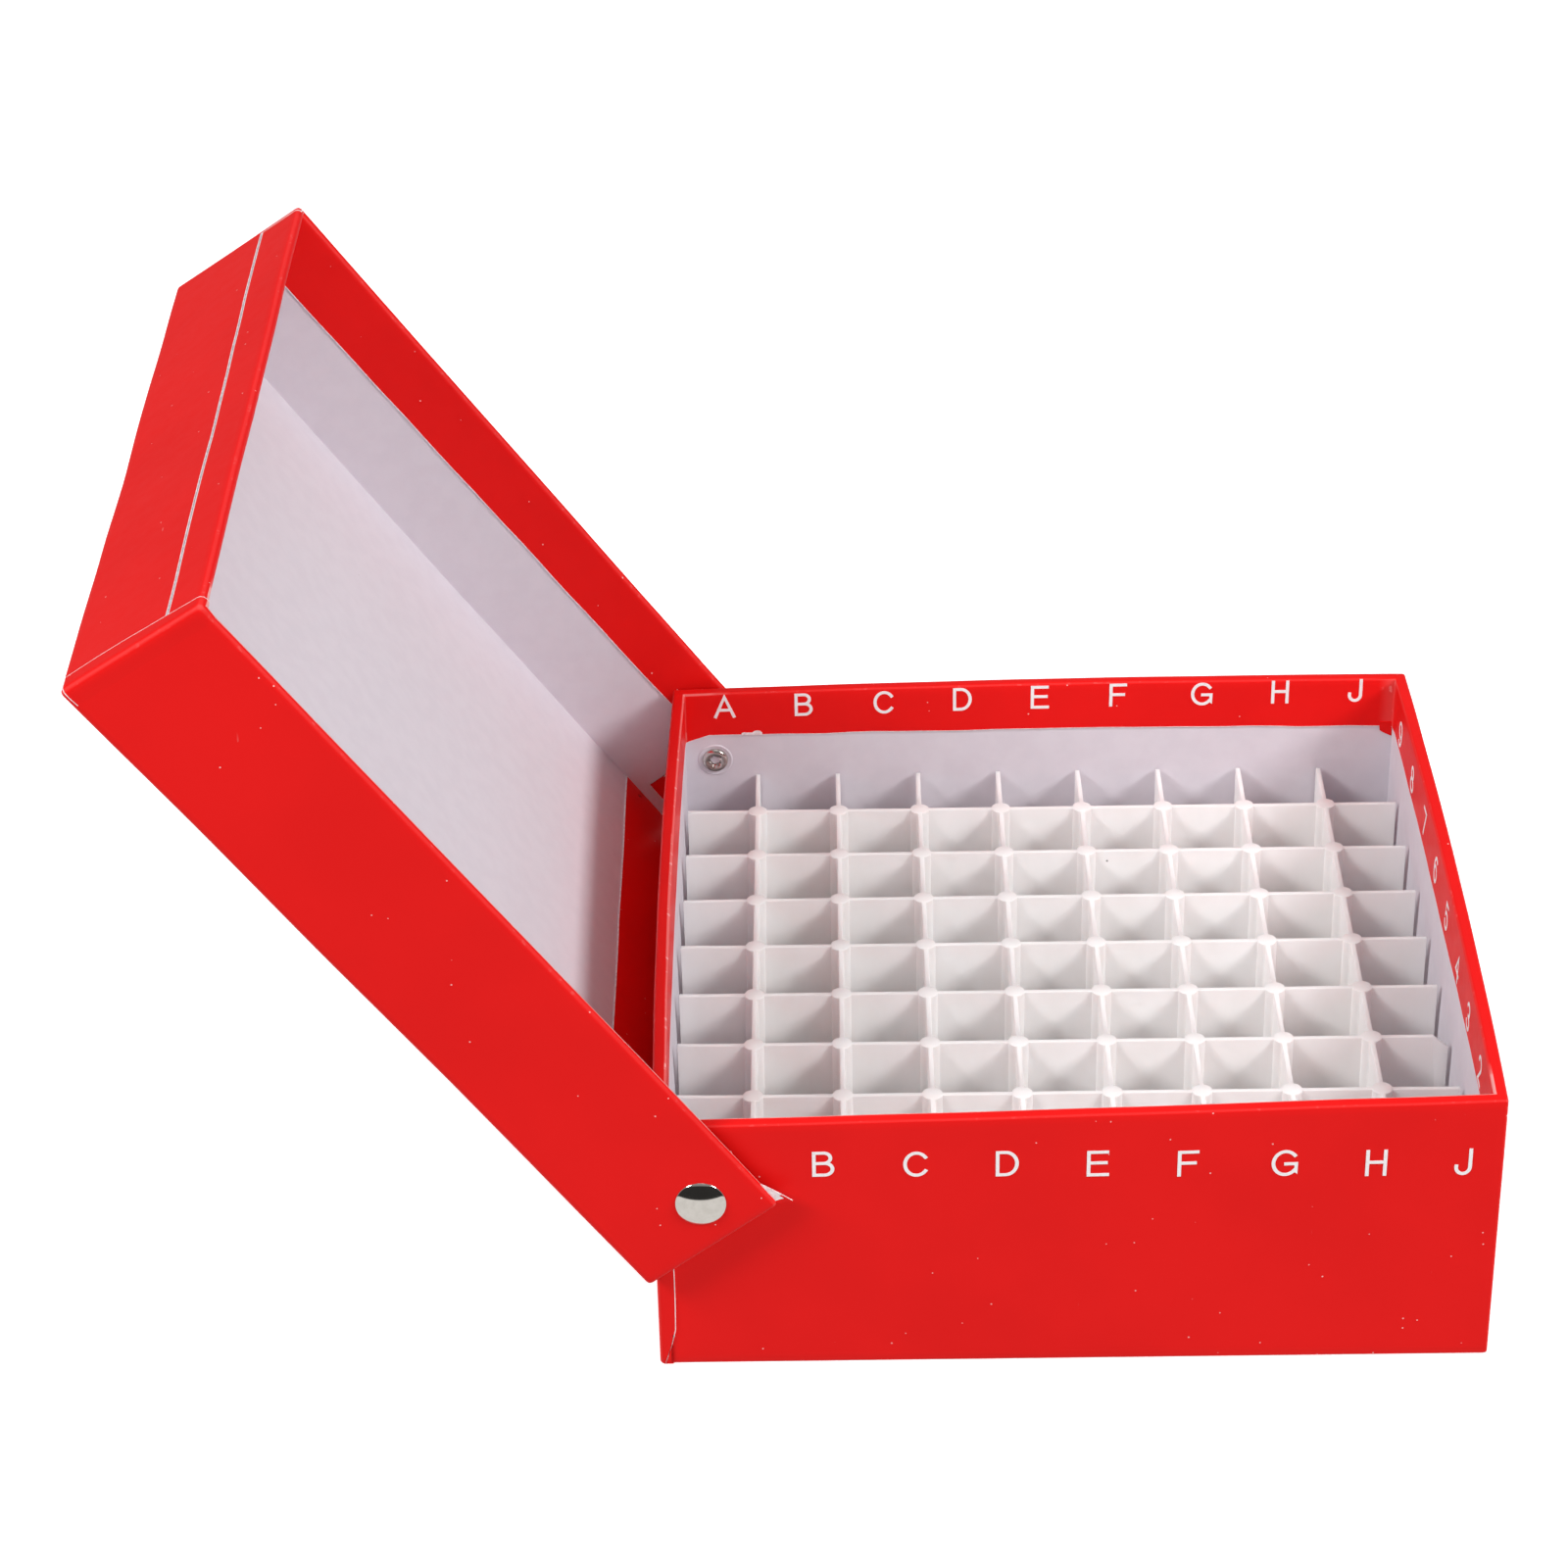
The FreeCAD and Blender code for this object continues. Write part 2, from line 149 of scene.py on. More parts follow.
class Graph:
    """A node tree that nodes of any type are added to."""

    def __init__(self, tree: bpy.types.NodeTree) -> None:
        """Hold the tree."""
        self.tree = tree

    def add(self, kind: str, settings: Dict[str, object],
            inputs: Dict[Union[str, int], Input]) -> bpy.types.Node:
        """Add a node of any type.

        Args:
            kind: the node's type.
            settings: its attributes, set before anything is joined.
            inputs: values or links of its sockets, by name or index.

        Returns:
            The new node.
        """
        node = self.tree.nodes.new(kind)
        for key, value in settings.items():
            setattr(node, key, value)
        for key, value in inputs.items():
            self.feed(node.inputs[key], value)
        return node

    def feed(self, socket: bpy.types.NodeSocket, value: Input) -> None:
        """Link or set one socket.

        Args:
            socket: the input socket.
            value: a signal or socket to link, or a plain value.
        """
        if isinstance(value, Signal):
            self.tree.links.new(value.socket, socket)
        elif isinstance(value, bpy.types.NodeSocket):
            self.tree.links.new(value, socket)
        elif isinstance(value, tuple):
            socket.default_value = value + (1.0,) if socket.type == "RGBA" else value
        else:
            socket.default_value = value

    def blend(self, factor: Number, first: Input, second: Input) -> bpy.types.NodeSocket:
        """Mix two colours.

        Args:
            factor: 0 gives the first colour and 1 the second.
            first: a colour.
            second: a colour.

        Returns:
            The mixed colour's socket.
        """
        node = self.add("ShaderNodeMix", {"data_type": "RGBA"},
                        {MIX_FACTOR: factor, MIX_FIRST: first, MIX_SECOND: second})
        return node.outputs[MIX_RESULT]


class Coating(Graph):
    """A material's node tree, with its shader and the textures that the finishes share."""

    def __init__(self, name: str) -> None:
        """Start a material with one Principled shader.

        Args:
            name: the material's name.
        """
        self.material = bpy.data.materials.new(name)
        self.material.use_nodes = True
        super().__init__(self.material.node_tree)
        self.shader = self.tree.nodes["Principled BSDF"]
        self.place = self.add("ShaderNodeTexCoord", {}, {}).outputs["Object"]

    def noise(self, size_mm: float, detail: float = 2.0, stretch: Colour = (1.0, 1.0, 1.0)) -> Signal:
        """Smooth noise in the object's own space.

        Args:
            size_mm: the width of one blotch.
            detail: how many finer octaves are added.
            stretch: how much longer the blotches are along each axis.

        Returns:
            Noise from 0 to 1.
        """
        shrink = tuple(1 / length for length in stretch)
        scaled = self.add("ShaderNodeMapping", {}, {"Vector": self.place, "Scale": shrink})
        node = self.add("ShaderNodeTexNoise", {},
                        {"Vector": scaled.outputs[0], "Scale": 1 / (size_mm * MM), "Detail": detail})
        return Signal(self, node.outputs[0])

    def specks(self, spacing_mm: float, radius_mm: float, share: float) -> Signal:
        """Scattered round specks.

        Args:
            spacing_mm: the mean distance between places where a speck may be.
            radius_mm: a speck's radius.
            share: how many of those places hold one, from 0 to 1.

        Returns:
            1 on a speck, else 0.
        """
        node = self.add("ShaderNodeTexVoronoi", {}, {"Vector": self.place, "Scale": 1 / (spacing_mm * MM)})
        chance = self.add("ShaderNodeSeparateColor", {}, {"Color": node.outputs["Color"]})
        near = Signal(self, node.outputs["Distance"]) < radius_mm / spacing_mm
        return near * (Signal(self, chance.outputs[0]) < share)

    def attribute(self, name: str) -> Signal:
        """Read a number that the mesh carries at each point."""
        return Signal(self, self.add("ShaderNodeAttribute", {"attribute_name": name}, {}).outputs["Fac"])

    def bump(self, height: Signal, depth_mm: float) -> bpy.types.NodeSocket:
        """Turn a height into a surface direction.

        Args:
            height: the relief, from 0 to 1.
            depth_mm: how high 1 stands above 0.

        Returns:
            The bumped normal's socket.
        """
        node = self.add("ShaderNodeBump", {}, {"Height": height, "Distance": depth_mm * MM, "Strength": 1.0})
        return node.outputs[0]

    def finish(self, **sockets: Input) -> bpy.types.Material:
        """Feed the shader, with a socket's spaces written as underscores.

        Args:
            **sockets: values or links by socket name.

        Returns:
            The finished material.
        """
        for name, value in sockets.items():
            self.feed(self.shader.inputs[name.replace("_", " ")], value)
        return self.material


# ---------------------------------------------------------------- finishes

class Slot(Enum):
    """The record's material slots."""

    RED_PAPER = "red_paper"
    LINED_BOARD = "lined_board"
    CAP = "nickel_cap"
    SHANK = "nickel_shank"
    DIVIDER = "divider_plastic"


class Glint(Enum):
    """How bright the painted highlight is at a point of the paper's mesh: a soft line on folds, patchy glints
    on the hinge end's inner rim edge, and the brightest line on the front's inner rim edge.
    """

    FOLD_HIGHLIGHT = 1.0
    HINGE_EDGE_GLINTS = 1.5
    FRONT_EDGE_HIGHLIGHT = 2.0


@dataclass(frozen=True)
class RedPaper:
    """Film-laminated red paper: even colour, faint board texture, painted highlights on folds and rim edges,
    dust and hairlines.
    """

    name: str = "laminated_red_paper"
    red: Colour = (0.845, 0.0098, 0.0090)
    deep_red: Colour = (0.800, 0.0088, 0.0082)
    highlight_pink: Colour = (0.93, 0.42, 0.40)
    dust: Colour = (0.95, 0.62, 0.60)
    gloss: float = 0.34

    def make(self) -> bpy.types.Material:
        """Build the material.

        Returns:
            The finished material.
        """
        graph = Coating(self.name)
        cloud = graph.noise(26.0, 3.0)
        fibre = graph.noise(0.55, 4.0)
        grain = graph.noise(2.4, 3.0)
        # The light pink blended in by the mask below is a painted highlight: a soft sheen on folds, patchy
        # glints and a bright line on inner rim edges.
        wear = graph.attribute("wear")
        patch = graph.noise(1.6, 4.0).ramp(0.58, 0.70)
        highlight_mask = wear.ramp(0.30, Glint.FOLD_HIGHLIGHT.value) * (0.15 + 0.40 * patch)
        highlight_mask = highlight_mask + wear.ramp(1.05, Glint.HINGE_EDGE_GLINTS.value) * (0.20 + 0.30 * patch)
        highlight_mask = highlight_mask + wear.ramp(Glint.HINGE_EDGE_GLINTS.value, 1.8) * 0.50
        scratches = graph.noise(0.8, 2.0, (1.0, 9.0, 9.0)).ramp(0.755, 0.78)
        hairline = scratches * graph.noise(14.0).ramp(0.58, 0.68)
        specks = graph.specks(2.3, 0.14, 0.27)
        base = graph.blend(cloud.ramp(0.3, 0.7), self.deep_red, self.red)
        base = graph.blend(highlight_mask, base, self.highlight_pink)
        base = graph.blend(specks * 0.75 + hairline * 0.30, base, self.dust)
        rough = self.gloss + 0.10 * grain + 0.14 * highlight_mask + 0.03 * (1 - cloud)
        relief = 0.55 * grain + 0.45 * fibre
        return graph.finish(Base_Color=base, Roughness=rough, Normal=graph.bump(relief, 0.004),
                            Specular_IOR_Level=0.09)


@dataclass(frozen=True)
class LinedBoard:
    """White-lined board: matt, lilac-white, with fibre mottle, faint press marks and stray flecks."""

    name: str = "white_lined_board"
    white: Colour = (0.735, 0.690, 0.745)
    shade: Colour = (0.712, 0.665, 0.722)
    fleck: Colour = (0.42, 0.36, 0.38)

    def make(self) -> bpy.types.Material:
        """Build the material.

        Returns:
            The finished material.
        """
        graph = Coating(self.name)
        mottle = graph.noise(3.2, 4.0)
        fibre = graph.noise(0.45, 3.0, (1.0, 2.5, 1.0))
        flecks = graph.specks(6.0, 0.12, 0.16) * 0.55
        base = graph.blend(mottle.ramp(0.3, 0.7), self.shade, self.white)
        base = graph.blend(flecks, base, self.fleck)
        relief = 0.6 * mottle + 0.4 * fibre
        return graph.finish(Base_Color=base, Roughness=0.70 + 0.12 * fibre,
                            Normal=graph.bump(relief, 0.006), Specular_IOR_Level=0.20)


@dataclass(frozen=True)
class RawEdge:
    """The cut edge of coated paper: bright, fibrous and matt."""

    name: str = "raw_paper_edge"
    bright: Colour = (0.93, 0.88, 0.89)
    dull: Colour = (0.80, 0.66, 0.68)

    def make(self) -> bpy.types.Material:
        """Build the material.

        Returns:
            The finished material.
        """
        graph = Coating(self.name)
        fray = graph.noise(0.8, 4.0)
        base = graph.blend(fray.ramp(0.35, 0.65), self.dull, self.bright)
        return graph.finish(Base_Color=base, Roughness=0.75 + 0.15 * fray, Normal=graph.bump(fray, 0.03))


@dataclass(frozen=True)
class WhiteInk:
    """Screen-printed white ink, a little thin where the paper's grain shows through."""

    name: str = "white_print_ink"
    full: Colour = (0.94, 0.91, 0.92)
    thin: Colour = (0.92, 0.83, 0.84)

    def make(self) -> bpy.types.Material:
        """Build the material.

        Returns:
            The finished material.
        """
        graph = Coating(self.name)
        cover = graph.noise(0.5, 3.0)
        base = graph.blend(cover.ramp(0.32, 0.46), self.thin, self.full)
        return graph.finish(Base_Color=base, Roughness=0.38 + 0.15 * cover, Normal=graph.bump(cover, 0.006))


@dataclass(frozen=True)
class Nickel:
    """Bright nickel plate with handling haze and fine turned marks."""

    name: str = "bright_nickel"
    plate: Colour = (0.82, 0.77, 0.71)
    haze: Colour = (0.76, 0.71, 0.65)
    gloss: float = 0.05

    def make(self) -> bpy.types.Material:
        """Build the material.

        Returns:
            The finished material.
        """
        graph = Coating(self.name)
        cloud = graph.noise(1.3, 3.0)
        marks = graph.noise(0.22, 3.0, (5.0, 1.0, 1.0))
        base = graph.blend(cloud.ramp(0.35, 0.7), self.plate, self.haze)
        rough = self.gloss + 0.04 * cloud + 0.06 * marks.ramp(0.55, 0.75)
        return graph.finish(Base_Color=base, Metallic=1.0, Roughness=rough, Normal=graph.bump(marks, 0.0003))


@dataclass(frozen=True)
class DividerPlastic:
    """Natural polypropylene: warm translucent white, satin, with flow marks and stray dark specks."""

    name: str = "moulded_polypropylene"
    white: Colour = (0.915, 0.885, 0.880)
    warm: Colour = (0.870, 0.835, 0.825)
    speck: Colour = (0.10, 0.09, 0.09)

    def make(self) -> bpy.types.Material:
        """Build the material.

        Returns:
            The finished material.
        """
        graph = Coating(self.name)
        flow = graph.noise(9.0, 3.0, (1.0, 1.0, 2.5))
        skin = graph.noise(0.7, 3.0)
        base = graph.blend(flow.ramp(0.3, 0.7), self.warm, self.white)
        base = graph.blend(graph.specks(11.0, 0.22, 0.035) * 0.8, base, self.speck)
        self._soften(graph)
        return graph.finish(Base_Color=base, Roughness=0.36 + 0.12 * skin + 0.06 * flow,
                            Normal=graph.bump(0.5 * skin + 0.5 * flow, 0.02))

    def _soften(self, graph: Coating) -> None:
        """Let light bleed a few millimetres through the plastic.

        Args:
            graph: the material's tree.
        """
        graph.feed(graph.shader.inputs["Subsurface Weight"], 0.30)
        graph.feed(graph.shader.inputs["Subsurface Radius"], (1.0, 0.85, 0.80))
        graph.feed(graph.shader.inputs["Subsurface Scale"], 2.5 * MM)


@dataclass(frozen=True)
class StudioFloor:
    """A smooth pale table top, lit through from below, with a barely uneven tone."""

    name: str = "pale_table_top"
    glow: float = 0.55
    pale: Colour = (0.93, 0.93, 0.93)
    paler: Colour = (0.95, 0.95, 0.95)

    def make(self) -> bpy.types.Material:
        """Build the material.

        Returns:
            The finished material.
        """
        graph = Coating(self.name)
        cloud = graph.noise(180.0, 2.0)
        tone = graph.blend(cloud, self.pale, self.paler)
        return graph.finish(Base_Color=tone, Roughness=0.8 + 0.1 * cloud, Emission_Color=tone,
                            Emission_Strength=self.glow)


class Palette:
    """Every finish, made once."""

    def __init__(self) -> None:
        """Make all the materials."""
        self.red_paper = RedPaper().make()
        self.board = LinedBoard().make()
        self.raw_edge = RawEdge().make()
        self.ink = WhiteInk().make()
        self.cap = Nickel().make()
        self.shank = Nickel("clinched_nickel", (0.66, 0.62, 0.58), (0.42, 0.37, 0.34), 0.16).make()
        # The bore's dark red-brown nickel is painted shade inside the hollow bore, with a painted reflection
        # of the red paper.
        self.bore = Nickel("bore_painted_shade", (0.20, 0.11, 0.09), (0.09, 0.05, 0.05), 0.35).make()
        self.plastic = DividerPlastic().make()
        self.floor = StudioFloor().make()


# ---------------------------------------------------------------- making meshes

def spaced(low: float, high: float, step: float) -> List[float]:
    """Split a span evenly.

    Args:
        low: its start.
        high: its end.
        step: the longest distance between two places.

    Returns:
        The places, both ends among them.
    """
    count = max(1, math.ceil((high - low) / step - TINY))
    return [low + (high - low) * i / count for i in range(count + 1)]


def mixed(first: float, second: float, share: float) -> float:
    """Go from first to second by a share."""
    return first + (second - first) * share


def clamped(value: float, low: float = 0.0, high: float = 1.0) -> float:
    """Hold a value between two limits."""
    return max(low, min(high, value))


def new_piece(name: str, mesh: bmesh.types.BMesh, materials: Sequence[bpy.types.Material],
              sharp_degrees: float = 50.0) -> bpy.types.Object:
    """Turn a finished mesh into an object.

    Args:
        name: the piece's name.
        mesh: its geometry, in metres.
        materials: its materials, in the order of the faces' indexes.
        sharp_degrees: edges that turn by more than this stay sharp.

    Returns:
        The object, in the scene.
    """
    data = bpy.data.meshes.new(name)
    mesh.normal_update()
    mesh.to_mesh(data)
    mesh.free()
    data.shade_smooth()
    data.set_sharp_from_angle(angle=math.radians(sharp_degrees))
    for material in materials:
        data.materials.append(material)
    piece = bpy.data.objects.new(name, data)
    bpy.context.scene.collection.objects.link(piece)
    return piece


def fit(piece: bpy.types.Object, body: str, slot: Slot, *nodes: str) -> None:
    """Hand a piece to the frame and report it.

    Args:
        piece: the finished object.
        body: the body that it moves with.
        slot: the record's slot for its finish; not used.
        *nodes: the CAD nodes that it stands for.
    """
    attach(piece, body)
    if nodes:
        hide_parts(*nodes)
    log.info("%s rides on %s, %d faces", piece.name, body, len(piece.data.polygons))


@dataclass(frozen=True)
class Span:
    """An upright box between two corners, in millimetres."""

    low: Vector
    high: Vector

    def holds(self, point: Vector) -> bool:
        """Say whether a point is inside."""
        return all(a < p < b for a, p, b in zip(self.low, point, self.high))


@dataclass
class BoardBlank:
    """Board folded into an open box: a watertight grid of faces between an outside and a hollow."""

    outside: Span
    hollow: Span
    cuts: Tuple[List[float], List[float], List[float]]
    closest: float = 0.25
    fold_radius: float = 0.6
    fold_steps: int = 3
    fold_radians: float = 1.0

    def lines(self, axis: int) -> List[float]:
        """Places along one axis where the grid has a line.

        Args:
            axis: 0, 1 or 2.

        Returns:
            Sorted places within the outside, none closer together than is allowed.
        """
        low, high = self.outside.low[axis], self.outside.high[axis]
        fixed = [low, high, self.hollow.low[axis], self.hollow.high[axis]]
        found: List[float] = []
        for place in fixed + self.cuts[axis]:
            inside = low - TINY <= place <= high + TINY
            if inside and all(abs(place - other) > self.closest for other in found):
                found.append(place)
        return sorted(found)

    def make(self) -> bmesh.types.BMesh:
        """Build the board's surface with its outward folds rounded.

        Returns:
            The mesh, in millimetres.
        """
        mesh = bmesh.new()
        grid = [self.lines(axis) for axis in range(3)]
        corners: Dict[Tuple[int, ...], bmesh.types.BMVert] = {}

        def filled(cell: Tuple[int, ...]) -> bool:
            """Say whether a cell of the grid is board.

            Args:
                cell: its indexes.

            Returns:
                False in the hollow and beyond the grid.
            """
            if any(i < 0 or i >= len(line) - 1 for i, line in zip(cell, grid)):
                return False
            centre = Vector([(line[i] + line[i + 1]) / 2 for i, line in zip(cell, grid)])
            return not self.hollow.holds(centre)

        def corner(index: Tuple[int, ...]) -> bmesh.types.BMVert:
            """Give the grid point at an index, made once.

            Args:
                index: its place on the three lists of lines.

            Returns:
                The point.
            """
            if index not in corners:
                corners[index] = mesh.verts.new([line[i] for i, line in zip(index, grid)])
            return corners[index]

        counts = [len(line) - 1 for line in grid]
        for cell in ((i, j, k) for i in range(counts[0]) for j in range(counts[1]) for k in range(counts[2])):
            if not filled(cell):
                continue
            for axis in range(3):
                for step in (-1, 1):
                    beside = tuple(c + step * (a == axis) for a, c in enumerate(cell))
                    if not filled(beside):
                        mesh.faces.new([corner(index) for index in self._square(cell, axis, step)])
        mesh.normal_update()
        convex = [edge for edge in mesh.edges
                  if edge.is_convex and edge.calc_face_angle() > self.fold_radians]
        bmesh.ops.bevel(mesh, geom=convex, offset=self.fold_radius, offset_type="OFFSET",
                        segments=self.fold_steps, profile=0.5, affect="EDGES", clamp_overlap=True)
        mesh.normal_update()
        return mesh

    def _square(self, cell: Tuple[int, ...], axis: int, step: int) -> List[Tuple[int, ...]]:
        """Find the corners of one side of a cell.

        Args:
            cell: its indexes.
            axis: the axis that the side stands across.
            step: 1 for the side at the axis's far end, -1 for the near one.

        Returns:
            The corners' indexes, in the order that faces the side outwards.
        """
        first, second = (axis + 1) % 3, (axis + 2) % 3
        ring = [(0, 0), (1, 0), (1, 1), (0, 1)]
        if step < 0:
            ring.reverse()
        square = []
        for along, across in ring:
            index = list(cell)
            index[axis] += step > 0
            index[first] += along
            index[second] += across
            square.append(tuple(index))
        return square


@dataclass
class PaperLayer:
    """Paper glued over part of a board, with its own thickness and bright cut edges."""

    chooser: Chooser
    lift: float = 0.02
    thickness: float = 0.2
    edge_line: float = 0.14
    trim: Optional[Place] = None
    sink: Optional[Callable[[Vector], float]] = None

    def make(self, board: bmesh.types.BMesh) -> bmesh.types.BMesh:
        """Cut the paper from a copy of the board's surface.

        Args:
            board: the board that the paper lies on, in millimetres.

        Returns:
            A closed sheet whose cut edges have material 1, with its painted highlight strength at each point.
        """
        paper = board.copy()
        unwanted = [face for face in paper.faces if not self.chooser(face.calc_center_median(), face.normal)]
        bmesh.ops.delete(paper, geom=unwanted, context="FACES")
        paper.normal_update()
        wear = self._mark_highlights(paper)
        line = bmesh.ops.inset_region(paper, faces=list(paper.faces), use_boundary=True,
                                      thickness=self.edge_line)
        paper.normal_update()
        for face in line["faces"]:
            face.material_index = 1
        rims = {vert for face in line["faces"] for vert in face.verts}
        normals = {vert: vert.normal.copy() for vert in paper.verts}
        lower = {}
        for vert, normal in normals.items():
            if vert in rims and self.trim:
                vert.co = self.trim(vert.co)
            drop = self.sink(vert.co) if self.sink else 0.0
            steep = 1 / max(0.5, max(abs(part) for part in normal))
            lower[vert] = vert.co + normal * (self.lift - drop) * min(steep, 1.2)
            vert.co = lower[vert] + normal * self.thickness
        faces = list(paper.faces)
        edges = [edge for edge in paper.edges if edge.is_boundary]
        under = {vert: paper.verts.new(lower[vert]) for vert in normals}
        for vert, copy in under.items():
            copy[wear] = vert[wear]
        for face in faces:
            below = paper.faces.new([under[vert] for vert in reversed(face.verts)])
            below.material_index = face.material_index
        for edge in edges:
            loop = edge.link_loops[0]
            start, end = loop.vert, loop.link_loop_next.vert
            side = paper.faces.new([end, start, under[start], under[end]])
            side.material_index = 1
        return paper

    def _mark_highlights(self, paper: bmesh.types.BMesh) -> bmesh.types.BMLayerItem:
        """Note how bright the painted highlight is at each point: a soft line on folds, patchy glints on the
        hinge end's inner rim edge, and the brightest line on the front's inner rim edge.

        Args:
            paper: the paper's outer surface.

        Returns:
            The mesh's layer of painted highlight strength.
        """
        wear = paper.verts.layers.float.new("wear")
        # Painted highlight strength: a soft line where the surface turns, a bright line on the front's inner
        # rim edge, patchy glints on the hinge end's.
        for vert in paper.verts:
            vert[wear] = clamped((1 - max(abs(part) for part in vert.normal)) * 4)
            inward = -vert.normal.xy.dot(vert.co.xy.normalized())
            if vert.co.y < -NEAR_WALL and inward > 0.02 and abs(vert.normal.z) > 0.25:
                vert[wear] = Glint.FRONT_EDGE_HIGHLIGHT.value
            elif vert.co.x < -NEAR_WALL and inward > 0.25 and vert.normal.z > 0.25:
                vert[wear] = Glint.HINGE_EDGE_GLINTS.value
        return wear


def settle_mesh(mesh: bmesh.types.BMesh, settle: Place) -> bmesh.types.BMesh:
    """Move every point from its drawn place in millimetres to its real place in metres.

    Args:
        mesh: the drawn mesh.
        settle: gives a point's real place, in millimetres.

    Returns:
        The same mesh.
    """
    for vert in mesh.verts:
        vert.co = settle(vert.co) * MM
    return mesh


def slab(grid: Sequence[Sequence[Vector]], depth: Vector,
         painted: Callable[[int, int], int] = lambda row, column: 0) -> bmesh.types.BMesh:
    """Give a bent patch of points a thickness.

    Args:
        grid: rows of points over the patch.
        depth: from its front to its back.
        painted: gives the material's index of a patch square by row and column.

    Returns:
        A closed mesh, in the points' units.
    """
    mesh = bmesh.new()
    front = [[mesh.verts.new(point) for point in row] for row in grid]
    back = [[mesh.verts.new(point + depth) for point in row] for row in grid]
    rows, columns = len(grid) - 1, len(grid[0]) - 1
    for i in range(rows):
        for j in range(columns):
            for side in (front, back):
                face = mesh.faces.new([side[i][j], side[i][j + 1], side[i + 1][j + 1], side[i + 1][j]])
                face.material_index = painted(i, j)
    ring = [(0, j) for j in range(columns)] + [(i, columns) for i in range(rows)]
    ring += [(rows, j) for j in range(columns, 0, -1)] + [(i, 0) for i in range(rows, 0, -1)]
    for (i, j), (k, m) in zip(ring, ring[1:] + ring[:1]):
        mesh.faces.new([front[i][j], front[k][m], back[k][m], back[i][j]])
    bmesh.ops.recalc_face_normals(mesh, faces=mesh.faces)
    return mesh


def turned(profile: Sequence[Tuple[float, float]], steps: int,
           ripple: Callable[[float, float], float] = lambda radius, angle: 0.0) -> bmesh.types.BMesh:
    """Spin a profile about the Z axis.

    Args:
        profile: radius and height of each ring, from the axis outwards and back to the axis.
        steps: how many sides a ring has.
        ripple: extra height at a radius and an angle.

    Returns:
        A closed mesh, in the profile's units.
    """
    mesh = bmesh.new()
    rings = []
    for radius, height in profile:
        if radius < TINY:
            rings.append([mesh.verts.new((0, 0, height + ripple(0.0, 0.0)))])
            continue
        angles = [2 * math.pi * i / steps for i in range(steps)]
        rings.append([mesh.verts.new((radius * math.cos(a), radius * math.sin(a), height + ripple(radius, a)))
                      for a in angles])
    for inner, outer in zip(rings, rings[1:]):
        for i in range(steps):
            j = (i + 1) % steps
            if len(inner) == 1:
                mesh.faces.new([inner[0], outer[i], outer[j]])
            elif len(outer) == 1:
                mesh.faces.new([inner[i], outer[0], inner[j]])
            else:
                mesh.faces.new([inner[i], outer[i], outer[j], inner[j]])
    bmesh.ops.recalc_face_normals(mesh, faces=mesh.faces)
    return mesh


# ---------------------------------------------------------------- print

def arc(centre: Tuple[float, float], reach: Tuple[float, float], start: float, end: float,
        steps: int = 16) -> List[Tuple[float, float]]:
    """Points along an elliptical arc.

    Args:
        centre: the middle of the ellipse.
        reach: its half width and half height.
        start: the first angle, in degrees.
        end: the last angle.
        steps: how many chords it has.

    Returns:
        The points in order.
    """
    angles = [math.radians(mixed(start, end, i / steps)) for i in range(steps + 1)]
    return [(centre[0] + reach[0] * math.cos(a), centre[1] + reach[1] * math.sin(a)) for a in angles]


def strokes_of(mark: str) -> List[List[Tuple[float, float]]]:
    """Pen strokes of one index mark, on a cap height of 1.

    Args:
        mark: a letter from A to J without I, or a figure from 2 to 9.

    Returns:
        The centre line of each stroke.
    """
    stem = [(0.08, 0.0), (0.08, 1.0)]
    return {
        "A": [[(0.02, 0.0), (0.42, 1.0), (0.82, 0.0)], [(0.16, 0.33), (0.68, 0.33)]],
        "B": [stem, [(0.08, 1.0), (0.42, 1.0)] + arc((0.42, 0.765), (0.24, 0.235), 90, -90) + [(0.08, 0.53)],
              [(0.42, 0.53)] + arc((0.46, 0.265), (0.27, 0.265), 90, -90) + [(0.08, 0.0)]],
        "C": [arc((0.46, 0.5), (0.40, 0.5), 38, 322, 24)],
        "D": [stem, [(0.08, 1.0), (0.36, 1.0)] + arc((0.36, 0.5), (0.40, 0.5), 90, -90) + [(0.08, 0.0)]],
        "E": [stem, [(0.08, 1.0), (0.72, 1.0)], [(0.08, 0.53), (0.68, 0.53)], [(0.08, 0.0), (0.74, 0.0)]],
        "F": [stem, [(0.08, 1.0), (0.70, 1.0)], [(0.08, 0.52), (0.62, 0.52)]],
        "G": [arc((0.46, 0.5), (0.42, 0.5), 40, 322, 24) + [(0.84, 0.14), (0.84, 0.46), (0.48, 0.46)]],
        "H": [stem, [(0.70, 0.0), (0.70, 1.0)], [(0.08, 0.53), (0.70, 0.53)]],
        "J": [[(0.52, 1.0), (0.52, 0.28)] + arc((0.28, 0.28), (0.24, 0.28), 0, -190)],
        "2": [arc((0.33, 0.72), (0.27, 0.28), 165, -35) + [(0.06, 0.0), (0.62, 0.0)]],
        "3": [arc((0.32, 0.76), (0.24, 0.24), 160, -90), arc((0.32, 0.26), (0.28, 0.26), 90, -165)],
        "4": [[(0.50, 0.0), (0.50, 1.0), (0.04, 0.30), (0.68, 0.30)]],
        "5": [[(0.58, 1.0), (0.18, 1.0), (0.11, 0.50)] + arc((0.33, 0.32), (0.28, 0.32), 140, -160)],
        "6": [arc((0.35, 0.31), (0.28, 0.31), 180, -180), arc((0.45, 0.42), (0.38, 0.58), 180, 62)],
        "7": [[(0.06, 1.0), (0.62, 1.0), (0.26, 0.0)]],
        "8": [arc((0.34, 0.76), (0.23, 0.24), 180, -180), arc((0.34, 0.26), (0.29, 0.26), 180, -180)],
        "9": [arc((0.34, 0.69), (0.28, 0.31), 0, 360), arc((0.24, 0.58), (0.38, 0.58), 0, -118)],
    }[mark]


